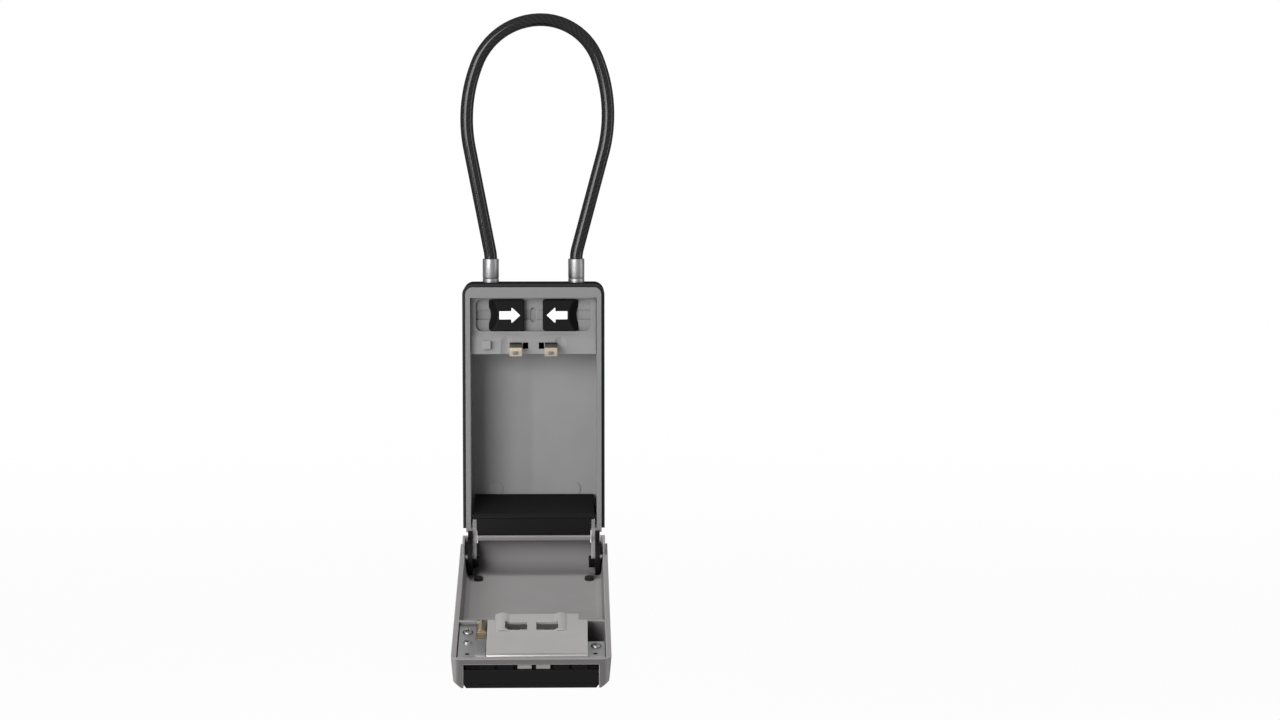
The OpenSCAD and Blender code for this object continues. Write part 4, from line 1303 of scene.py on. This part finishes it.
@dataclass
class Releases:
    """The two release sliders with their scooped ends and white arrows.

    Attributes:
        bench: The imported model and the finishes.
        depth: How far the cap's walls reach back from its front face.
        corner: Radius of the cap's corners, seen from the front.
        round_edge: Radius of the edge round its front face.
        scoop: Radius of the sphere that hollows out its outer end.
        scoop_out: How far past the outer end the sphere's middle lies.
        scoop_ahead: How far in front of the face it lies.
        crest: How gently the hollow comes out of the face.
        tongue_half: Half of the width of the tongue that reaches the spring.
        tongue_in: How far the tongue lies inward of the lock plate's middle.
        tongue_corner: Radius of the tongue's corners.
        tongue_edge: Radius of its rims, and how far it reaches into the cap.
        head_long: Length of the arrow's head.
        bends: Radii of the arrow's tip, its barbs, its inner corners and its tail's corners.
        proud: How far the arrow stands out of its recess.
        rim_back: Radius of its rim at the back.
        rim_front: Radius of its rim at the front.
        samples: Points each way in the cap's map.
    """

    bench: Bench
    depth: float = 4.2 * MM
    corner: float = 1.5 * MM
    round_edge: float = 0.7 * MM
    scoop: float = 16.2 * MM
    scoop_out: float = 8.3 * MM
    scoop_ahead: float = 9.0 * MM
    crest: float = 0.1 * MM
    tongue_half: float = 3.75 * MM
    tongue_in: float = 6.75 * MM
    tongue_corner: float = 0.3 * MM
    tongue_edge: float = 0.2 * MM
    head_long: float = 5 * MM
    bends: tuple[float, ...] = (0.35 * MM, 0.3 * MM, 0.15 * MM, 0.3 * MM)
    proud: float = 0.04 * MM
    rim_back: float = 0.02 * MM
    rim_front: float = 0.05 * MM
    samples: int = 72

    def cap(self, side: Side) -> bpy.types.Object:
        """Builds a slider's cap as a map of depths, walled down to its foot, on a tongue to the spring.

        The rows run along Z and the columns along X, from the inner end to the outer one. The outer end
        follows the curve where the finger scoop's sphere reaches the foot. A point's depth is the sphere's
        where it lies behind the front face, and otherwise zero, plus the fall of the rounded edge, which is
        e - sqrt(e^2 - (e - d)^2) at a distance d from the outline.

        Args:
            side: Which slider.

        Returns:
            The slider.
        """
        box, plate = self.bench.box(f"slider_{side.word}"), self.bench.box(f"lock_plate_{side.word}")
        (x_mid, _, z_mid), (half_x, _, half_z) = box.middle, box.half
        front, foot = box.low[1], box.low[1] + self.depth
        share = np.sin(RIGHT_ANGLE * np.linspace(-1, 1, self.samples))
        z = half_z * share[:, None]
        inset = self.corner - np.sqrt(self.corner**2 - np.maximum(np.abs(z) - half_z + self.corner, 0) ** 2)
        reach = self.scoop**2 - (self.depth + self.scoop_ahead) ** 2 - z**2
        outer = np.minimum(half_x - inset, half_x + self.scoop_out - np.sqrt(np.maximum(reach, 0)))
        inner = inset - half_x
        x = inner + (outer - inner) * (share[None, :] + 1) / 2
        away = (x - half_x - self.scoop_out) ** 2 + z**2
        hollow = np.sqrt(np.maximum(self.scoop**2 - away, 0)) - self.scoop_ahead
        hollow = 0.5 * (hollow + np.sqrt(hollow**2 + self.crest**2))
        e = self.round_edge
        near = np.minimum(np.minimum(half_x - inset - x, x - inner), half_z - np.abs(z))
        fall = e - np.sqrt(np.maximum(e**2 - (e - np.clip(near, 0, e)) ** 2, 0))
        y = front + np.minimum(hollow + fall, self.depth)
        grid = np.stack([x_mid + side.value * x, y, z_mid + z + 0 * x], axis=-1)
        rim = np.concatenate([grid[0, :-1], grid[:-1, -1], grid[-1, :0:-1], grid[:0:-1, 0]])
        wall = np.stack([rim, rim])
        wall[1, :, 1] = foot
        start = np.array([plate.middle[0] - side.value * self.tongue_in, plate.high[2]])
        corners = np.array([[-1, 0], [1, 0], [1, 1], [-1, 1]]) * [self.tongue_half, z_mid - plate.high[2]]
        outline = rounded_outline(start + corners, self.tongue_corner, steps=3)
        edge = self.tongue_edge
        tongue = prism(outline, foot - edge, box.high[1], Way.ALONG_Y, edge)
        cap = [Patch(grid, ring=False), Patch(wall, fill_last=True), tongue]
        return make_piece(f"release_{side.word}", cap, sharp=50)

    def arrow(self, side: Side) -> bpy.types.Object:
        """Cuts an arrow that points to the middle and lets it into the slider's face.

        Args:
            side: Which slider it is on.

        Returns:
            The arrow.
        """
        box = self.bench.box(f"arrow_{side.word}")
        half_long, _, barb = box.half
        shaft, neck = barb / 2, self.head_long - half_long
        lower = [[neck, -barb], [neck, -shaft], [half_long, -shaft]]
        upper = [[half_long, shaft], [neck, shaft], [neck, barb]]
        tip, at_barb, at_neck, at_tail = self.bends
        radii = [tip, at_barb, at_neck, at_tail, at_tail, at_neck, at_barb]
        outline = rounded_outline(np.array([[-half_long, 0], *lower, *upper]), radii, steps=4)
        outline = outline * [side.value, 1] + box.middle[[0, 2]]
        slab = prism(
            outline, box.low[1] - self.proud, box.high[1], Way.ALONG_Y, self.rim_back, self.rim_front, steps=2
        )
        return make_piece(f"inlay_{side.word}", [slab], sharp=60)

    def build(self) -> None:
        """Builds both sliders and their arrows."""
        for side in Side:
            body = f"{side.word}_release"
            self.bench.place(self.cap(side), Finishes.BLACK, "black_plastic", body, f"slider_{side.word}")
            self.bench.place(self.arrow(side), Finishes.INLAY, "arrow_white", body, f"arrow_{side.word}")


@dataclass
class Hinge:
    """The hinge: the black hood over it, the two arms with their bushes, and the pins.

    Attributes:
        bench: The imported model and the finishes.
        thick: Thickness of the hood.
        slope_fall: How far its roof falls from the back to the front.
        nose: Size of its round nose.
        gap: Play between its skirt and each arm.
        lip: Inner radius of the skirt's lip about the hinge.
        lip_thick: Thickness of that lip.
        lip_turn: The angle about the hinge at which the lip ends.
        lip_points: Points along each of the lip's arcs.
        skirt_in: How far the skirt's upper end lies inside the nose.
        bends: Radii of the roof's corners, over the top to the nose and back again underneath.
        roof_edge: Radius of the roof's rims at both sides.
        skirt_edge: Radius of the skirt's.
    """

    bench: Bench
    thick: float = 2.0 * MM
    slope_fall: float = 7.4 * MM
    nose: float = 3.0 * MM
    gap: float = 0.3 * MM
    lip: float = 12.9 * MM
    lip_thick: float = 1.5 * MM
    lip_turn: float = math.radians(45)
    lip_points: int = 12
    skirt_in: float = 0.5 * MM
    bends: tuple[float, ...] = tuple(r * MM for r in (0.3, 1.5, 1.2, 0.9, 0.3, 0.3, 0.3, 0.5, 0.8, 0.3))
    roof_edge: float = 0.3 * MM
    skirt_edge: float = 0.15 * MM

    def hood(self) -> bpy.types.Object:
        """Carries the hood's two side views across the box: a sloping roof with a round nose, and a skirt.

        The skirt is narrower, and its lip follows two arcs about the hinge: Y + r cos a and Z + r sin a.

        Returns:
            The hood.
        """
        box = self.bench.box("hinge_cover")
        back, front, top, t, nose = box.high[1], box.low[1], box.high[2], self.thick, self.nose
        crest = top - self.slope_fall
        chin = crest - nose
        over_roof = [[back, top], [back - t, top], [front + 0.5 * nose, crest], [front, chin + 0.4 * nose]]
        under_nose = [[front, chin], [front + t, chin], [front + t, chin + 0.3 * nose]]
        under_roof = [[front + 1.2 * nose, crest - t], [back - 1.3 * t, top - t], [back, top - t]]
        roof = rounded_outline(np.array(over_roof + under_nose + under_roof), self.bends, steps=7)
        axis = np.array(self.bench.joint("door_hinge")["pos_m"][1:], float)
        reach, inner, outer = front - axis[0], self.lip, self.lip + self.lip_thick
        a = np.linspace(math.acos(reach / inner), self.lip_turn, self.lip_points)
        lip_in = axis + inner * np.stack([np.cos(a), np.sin(a)], axis=1)
        a = np.linspace(self.lip_turn, math.acos((reach + t) / outer), self.lip_points)
        lip_out = axis + outer * np.stack([np.cos(a), np.sin(a)], axis=1)
        start = chin + self.skirt_in
        skirt = np.vstack([[front, start], lip_in, lip_out, [front + t, start]])
        side = self.bench.box("hinge_arm_right").low[0] - self.gap
        across = [
            prism(roof, box.low[0], box.high[0], Way.ALONG_X, self.roof_edge),
            prism(skirt, -side, side, Way.ALONG_X, self.skirt_edge),
        ]
        return make_piece("hinge_hood", across, sharp=30)

    def build(self) -> None:
        """Builds the hood and dresses the rest."""
        bench = self.bench
        bench.place(self.hood(), Finishes.BLACK, "black_plastic", "housing", "hinge_cover")
        bench.dress(Finishes.DOOR, "hinge_arm_left", "hinge_arm_right")
        bench.dress(Finishes.BLACK, "hinge_bush_left", "hinge_bush_right")
        bench.dress(Finishes.STEEL, "hinge_pin_left", "hinge_pin_right")


@dataclass
class Swing:
    """The turn that takes a piece of the shut door to where the open door rests.

    Attributes:
        bench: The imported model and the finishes.
        angle: How far the door opens, in radians.
        pivot: A point on the hinge's line.
    """

    bench: Bench
    angle: float = field(init=False)
    pivot: Array = field(init=False)

    def __post_init__(self) -> None:
        """Reads the turn from the hinge's joint."""
        joint = self.bench.joint("door_hinge")
        self.angle = -math.radians(joint["range_deg"][0])
        self.pivot = np.array(joint["pos_m"], float)

    def about_hinge(self, points: Array, angle: float) -> Array:
        """Turns points about the hinge.

        Args:
            points: The points.
            angle: How far they turn, in radians.

        Returns:
            The turned points.
        """
        x, y, z = np.moveaxis(points - self.pivot, -1, 0)
        return self.pivot + np.stack([x, *turned(y, z, angle)], axis=-1)

    def opened(self, points: Array) -> Array:
        """Takes points of the shut door to where the open door has them."""
        return self.about_hinge(points, self.angle)

    def shut_points(self, node: str) -> Array:
        """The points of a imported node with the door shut."""
        return self.about_hinge(mesh_points(self.bench.frame["nodes"][node].data), -self.angle)


@dataclass
class Door:
    """The drop-down door: its tray, the lock bay's pieces and the sliding shutter.

    Attributes:
        bench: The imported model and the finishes.
        swing: The door's turn.
        fall: The slope of the cover's face toward its free edge.
        rolled: Radius of the roll along that edge.
        strip: How wide the rolled strip is.
        bevel: Size of the solid cover's bevel there, which the roll hides.
        flange: Height above the cover's foot from which its face is looked for.
        near: How close to the free edge the face's end is read.
        lip: How far above the cover's foot the strip ends.
        lap: How far it stands out over the cover's edge.
        bends: Radii of the strip's corner on the cover's face, and of the two corners at its foot.
        side_edge: Radius of its rims at both sides.
    """

    bench: Bench
    swing: Swing
    fall: float = 0.1146
    rolled: float = 0.9 * MM
    strip: float = 1.6 * MM
    bevel: float = 0.8 * MM
    flange: float = 0.7 * MM
    near: float = 0.01 * MM
    lip: float = 0.5 * MM
    lap: float = 0.25 * MM
    bends: Span = (0.02 * MM, 0.04 * MM)
    side_edge: float = 0.3 * MM

    def cover_edge(self) -> bpy.types.Object:
        """Rolls the lock cover's free edge: its end view has one big round corner and is carried along X.

        Returns:
            The rolled edge.
        """
        points = self.swing.shut_points("lock_cover")
        low, high = points.min(axis=0), points.max(axis=0)
        face = points[points[:, 1] > low[1] + self.flange]
        edge = face[:, 2].max()
        end = face[face[:, 2] > edge - self.near][:, 1].max() + (1 - self.fall) * self.bevel
        foot, out, inner = low[1] + self.lip, edge + self.lap, edge - self.strip
        corners = np.array([[end + self.fall * self.strip, inner], [end, out], [foot, out], [foot, inner]])
        on_face, at_foot = self.bends
        outline = rounded_outline(corners, [on_face, self.rolled, at_foot, at_foot], steps=8)
        strip = prism(outline, low[0], high[0], Way.ALONG_X, self.side_edge)
        strip.points = self.swing.opened(strip.points)
        return make_piece("cover_rolled_edge", [strip], sharp=40)

    def build(self) -> None:
        """Adds the cover's rolled edge and dresses the door's solids."""
        bench = self.bench
        # The rolled edge's light metal is partly wear and partly a painted highlight.
        bench.place(self.cover_edge(), Finishes.WORN_EDGE, "door_grey", "door")
        bench.dress(Finishes.DOOR, "door_shell")
        bench.dress(Finishes.COVER, "lock_cover")
        bench.dress(Finishes.BLACK, "dial_case", "release_knob")
        # The saddles' darker grey is a painted shade.
        bench.dress(Finishes.SADDLE, "shaft_saddles")
        bench.dress(Finishes.ZINC, "lock_chassis")
        bench.dress(Finishes.BRASS, "reset_lever")
        bench.dress(Finishes.STEEL, "latch_plate", "dial_shaft", "detent_spring")
        bench.dress(Finishes.RUBBER, "door_bumpers")
        bench.dress(Finishes.SHUTTER, "shutter")


@dataclass
class Screws:
    """The two pan-head screws that hold the lock chassis, with a cross pressed into each head.

    Attributes:
        bench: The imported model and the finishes.
        swing: The door's turn.
        head: Radius of a head.
        head_high: Height of a head.
        domed: The share of that height by which the whole dome falls to its rim.
        rounded: The share by which it falls further, close to the rim.
        recess: Depth of the cross.
        arm_reach: Half of the cross's length, as a share of the head's radius.
        arm_half: Half of an arm's width, as such a share.
        arm_slope: How wide the slope at the cross's outline is.
        on_outline: The share of the depth that is reached on the outline itself.
        turns: How far the left and the right screw's cross is turned.
        shank: Radius of a shank.
        tip: Radius of its tip.
        tip_long: Length of the slope to the tip.
        innermost: Radius of a head's innermost ring of points, as a share of the head's.
        rings: Rings of points in a head.
        sides: Points in a ring.
    """

    bench: Bench
    swing: Swing
    head: float = 2.8 * MM
    head_high: float = 2.1 * MM
    domed: float = 0.3
    rounded: float = 0.35
    recess: float = 1.2 * MM
    arm_reach: float = 0.62
    arm_half: float = 0.13
    arm_slope: float = 0.18 * MM
    on_outline: float = 0.4
    turns: Span = (math.radians(25), math.radians(32))
    shank: float = 1.1 * MM
    tip: float = 0.7 * MM
    tip_long: float = 0.4 * MM
    innermost: float = 0.06
    rings: int = 34
    sides: int = 120

    def screws(self) -> bpy.types.Object:
        """Turns both screws and presses a cross into each head.

        A head's points lie on rings about its middle. Their height is a low dome, h (1 - p s^2 - q s^8) at a
        share s of the radius, less the cross, where p is domed and q is rounded. The cross grows to its depth
        over a short slope at the outline of two crossed bars.

        Returns:
            Both screws as one piece.
        """
        points = self.swing.shut_points("chassis_screws")
        seat = float(points[:, 1].max()) - self.head_high
        b = round_angles(self.sides)[None, :]
        share = np.concatenate([[0.0], np.linspace(self.innermost, 1, self.rings)])[:, None]
        dome = self.head_high * (1 - self.domed * share**2 - self.rounded * share**8)
        patches = []
        for side, turn in zip(Side, self.turns):
            own = points[side.value * points[:, 0] > 0]
            (x, _, z), end = (own.min(axis=0) + own.max(axis=0)) / 2, own[:, 1].min()
            u, v = self.head * share * np.cos(b - turn), self.head * share * np.sin(b - turn)
            long, short = np.maximum(abs(u), abs(v)), np.minimum(abs(u), abs(v))
            inside = np.minimum(self.arm_reach * self.head - long, self.arm_half * self.head - short)
            y = seat + dome - self.recess * np.clip(inside / self.arm_slope + self.on_outline, 0, 1)
            r = np.array([self.head, self.shank, self.shank, self.tip, 0.0])[:, None]
            deep = np.array([seat, seat, end + self.tip_long, end, end])[:, None]
            r, y = np.vstack([self.head * share, r]), np.vstack([y, deep + 0 * b])
            screw = np.stack([x + r * np.cos(b), y, z + r * np.sin(b)], axis=-1)
            patches.append(Patch(self.swing.opened(screw)))
        return make_piece("cross_screws", patches)

    def build(self) -> None:
        """Builds the screws."""
        self.bench.place(self.screws(), Finishes.SCREW, "zinc", "door", "chassis_screws")


@dataclass
class Dials:
    """The four number dials, with a plain number on each of their ten flats.

    Attributes:
        bench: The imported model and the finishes.
        swing: The door's turn.
        flats: How many flats a dial has.
        radius: Radius of a dial across its corners.
        middle: Where the middle of its numbers lies, from its left end.
        size: Size of the type that the numbers are set in.
        raised: How far the numbers stand out.
    """

    bench: Bench
    swing: Swing
    flats: int = 10
    radius: float = 6.3 * MM
    middle: float = 3.3 * MM
    size: float = 4.2 * MM
    raised: float = 0.06 * MM

    def number(self, value: int) -> Glyph:
        """Makes one number as a flat mesh, centred on its own middle.

        Args:
            value: The number, from 0 to 9.

        Returns:
            The mesh's points, with X to the right and Y up, and its faces.
        """
        curve = bpy.data.curves.new("number", "FONT")
        curve.body, curve.size, curve.extrude, curve.resolution_u = str(value), self.size, self.raised, 3
        words = show("number", curve)
        mesh = bpy.data.meshes.new_from_object(words.evaluated_get(bpy.context.evaluated_depsgraph_get()))
        points = mesh_points(mesh)
        points[:, :2] -= (points[:, :2].min(axis=0) + points[:, :2].max(axis=0)) / 2
        faces = [list(face.vertices) for face in mesh.polygons]
        bpy.data.objects.remove(words)
        bpy.data.curves.remove(curve)
        bpy.data.meshes.remove(mesh)
        return points, faces

    def numbers(self, dial: Dial, glyphs: Sequence[Glyph]) -> bpy.types.Object:
        """Sets the ten numbers round a dial, each upright when its flat faces the front.

        A flat lies at radius * cos(pi / flats) from the shaft, and each next flat is turned by 2 pi / flats.

        Args:
            dial: The dial.
            glyphs: The ten numbers.

        Returns:
            The dial's numbers as one piece.
        """
        _, shaft_y, shaft_z = self.bench.joint(f"{dial.word}_dial_turn")["pos_m"]
        x = self.bench.box(f"dial_{dial.value}").low[0] + self.middle
        flat = self.radius * math.cos(math.pi / self.flats)
        points, faces, start = [], [], 0
        for value, (shape, sides) in enumerate(glyphs):
            turn = self.swing.angle - 2 * math.pi * value / self.flats
            y, z = turned(-flat - shape[:, 2], shape[:, 1], turn)
            points.append(np.stack([x + shape[:, 0], shaft_y + y, shaft_z + z], axis=1))
            faces += [[n + start for n in side] for side in sides]
            start += len(shape)
        mesh = bpy.data.meshes.new(f"numbers_{dial.value}")
        mesh.from_pydata(np.concatenate(points).tolist(), [], faces)
        return show(f"numbers_{dial.value}", mesh)

    def build(self) -> None:
        """Dresses the dials and sets their numbers."""
        glyphs = [self.number(value) for value in range(self.flats)]
        for dial in Dial:
            self.bench.dress(Finishes.DIAL, f"dial_{dial.value}")
            self.bench.place(self.numbers(dial, glyphs), Finishes.INLAY, "arrow_white", f"{dial.word}_dial")


# ---- Studio --------------------------------------------------------------------------------------------


@dataclass
class Lamp:
    """One soft light that hangs at a place and faces the box.

    Attributes:
        name: The light's name.
        place: Where it hangs.
        wide: Its width.
        high: Its height.
        power: Its power in watts.
        aim: The point that it faces.
        mirrored: Whether metal mirrors it.
    """

    name: str
    place: tuple[float, float, float]
    wide: float
    high: float
    power: float
    aim: tuple[float, float, float] = (0.0, -0.05, 0.05)
    mirrored: bool = True

    def build(self) -> None:
        """Hangs the lamp and turns it to its aim."""
        light = bpy.data.lights.new(self.name, "AREA")
        light.shape, light.size, light.size_y, light.energy = "RECTANGLE", self.wide, self.high, self.power
        lamp = show(self.name, light)
        x, y, z = np.array(self.place) - np.array(self.aim)
        lamp.location, lamp.visible_glossy = self.place, self.mirrored
        lamp.rotation_euler = (math.atan2(math.hypot(x, y), z), 0.0, math.atan2(y, x) + RIGHT_ANGLE)


@dataclass
class Studio:
    """The camera, a pale floor well below the hanging box, and soft light.

    Attributes:
        camera_place: Where the camera stands.
        camera_turn: How it is turned.
        lens: Its focal length in millimetres.
        sensor: The width of its sensor in millimetres.
        clip_start: The nearest that it sees.
        floor_drop: How far the floor lies below the box.
        floor_half: Half of the floor's width.
        floor_grey: The floor's own grey.
        floor_roughness: Its roughness.
        fade: The distances from the box between which the floor turns white to the eye.
        white_share: How white it is there at the near and at the far distance.
        ambient: The strength of the even light.
        lamps: The lamps.
    """

    camera_place: tuple[float, float, float] = (0.01795, -1.7284, 0.1614)
    camera_turn: tuple[float, float, float] = (math.radians(85.477), 0.0, math.radians(-1.418))
    lens: float = 85.0
    sensor: float = 36.0
    clip_start: float = 0.01
    floor_drop: float = 0.16
    floor_half: float = 6.0
    floor_grey: float = 0.9
    floor_roughness: float = 0.8
    fade: Span = (0.4, 2.6)
    white_share: Span = (0.94, 0.997)
    ambient: float = 0.05
    lamps: tuple[Lamp, ...] = (
        Lamp("key", (-0.95, -1.95, 0.5), 1.1, 1.1, 42.0),
        Lamp("top", (-0.1, -0.35, 1.6), 1.1, 0.5, 26.0, mirrored=False),
        Lamp("left strip", (-1.25, -1.1, 0.1), 0.06, 1.5, 7.0),
        Lamp("right strip", (1.5, -0.35, 0.1), 0.16, 1.5, 7.0),
    )

    def camera(self) -> None:
        """Sets up the camera."""
        data = bpy.data.cameras.new("camera")
        data.lens, data.sensor_width, data.clip_start = self.lens, self.sensor, self.clip_start
        data.dof.use_dof = False
        camera = show("camera", data)
        camera.location, camera.rotation_euler = self.camera_place, self.camera_turn
        bpy.context.scene.camera = camera

    def world(self) -> None:
        """Lights the box evenly and shows white to the eye, to gloss and through glass."""
        world = bpy.data.worlds.new("studio")
        bpy.context.scene.world = world
        world.use_nodes = True
        sky = Wiring(world.node_tree)
        rays = sky.node("ShaderNodeLightPath").outputs
        seen = sky.math("MAXIMUM", rays["Is Camera Ray"], rays["Is Glossy Ray"])
        seen = sky.math("MAXIMUM", seen, rays["Is Transmission Ray"])
        pick = sky.feed(sky.node("ShaderNodeMix"), Factor=seen, A=self.ambient, B=1.0)
        sky.feed(sky.first("BACKGROUND"), Color=WHITE, Strength=pick.outputs["Result"])

    def floor_material(self) -> bpy.types.Material:
        """Builds the floor's material, clear from below and nearly white to the eye.

        The share of white grows smoothly with the distance from the box.

        Returns:
            The material.
        """
        m = Mixing("pale floor")
        grey = (self.floor_grey,) * 3
        m.feed(m.shader, Base_Color=(*grey, 1.0), Roughness=self.floor_roughness)
        away = m.node("ShaderNodeVectorMath", operation="LENGTH")
        m.feed(away, m.node("ShaderNodeTexCoord").outputs["Object"])
        share = m.remap(away.outputs["Value"], self.fade, self.white_share, smooth=True)
        rays = m.node("ShaderNodeLightPath").outputs
        seen = m.math("MAXIMUM", rays["Is Camera Ray"], rays["Is Glossy Ray"])
        glow = m.node("ShaderNodeEmission").outputs["Emission"]
        above, floor = m.node("ShaderNodeMixShader"), m.node("ShaderNodeMixShader")
        m.feed(above, m.math("MULTIPLY", seen, share), m.shader.outputs["BSDF"], glow)
        under = m.node("ShaderNodeNewGeometry").outputs["Backfacing"]
        m.feed(floor, under, above.outputs["Shader"], m.node("ShaderNodeBsdfTransparent").outputs["BSDF"])
        m.feed(m.first("OUTPUT_MATERIAL"), Surface=floor.outputs["Shader"])
        return m.material

    def floor(self, lowest: float) -> None:
        """Lays the floor.

        Args:
            lowest: Height of the box's lowest point.
        """
        half, z = self.floor_half, lowest - self.floor_drop
        corners = [(-half, -half, z), (half, -half, z), (half, half, z), (-half, half, z)]
        mesh = bpy.data.meshes.new("floor")
        mesh.from_pydata(corners, [], [(0, 1, 2, 3)])
        mesh.materials.append(self.floor_material())
        floor = show("floor", mesh)
        floor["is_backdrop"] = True

    def build(self) -> None:
        """Sets up the whole studio round the box."""
        bpy.context.scene.view_settings.view_transform = "Standard"
        self.camera()
        self.world()
        self.floor(float(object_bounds()[0][2]))
        for lamp in self.lamps:
            lamp.build()


def main() -> None:
    """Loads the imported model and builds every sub-assembly on it."""
    logging.basicConfig(level=logging.INFO, format="%(name)s: %(message)s")
    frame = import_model()
    Studio().build()
    bench = Bench(frame)
    swing = Swing(bench)
    fixed = (Housing(bench), Shackle(bench), Releases(bench), Hinge(bench))
    swung = (Door(bench, swing), Screws(bench, swing), Dials(bench, swing))
    for part in fixed + swung:
        part.build()
        LOG.info("%s is done", type(part).__name__)


if __name__ == "__main__":
    main()
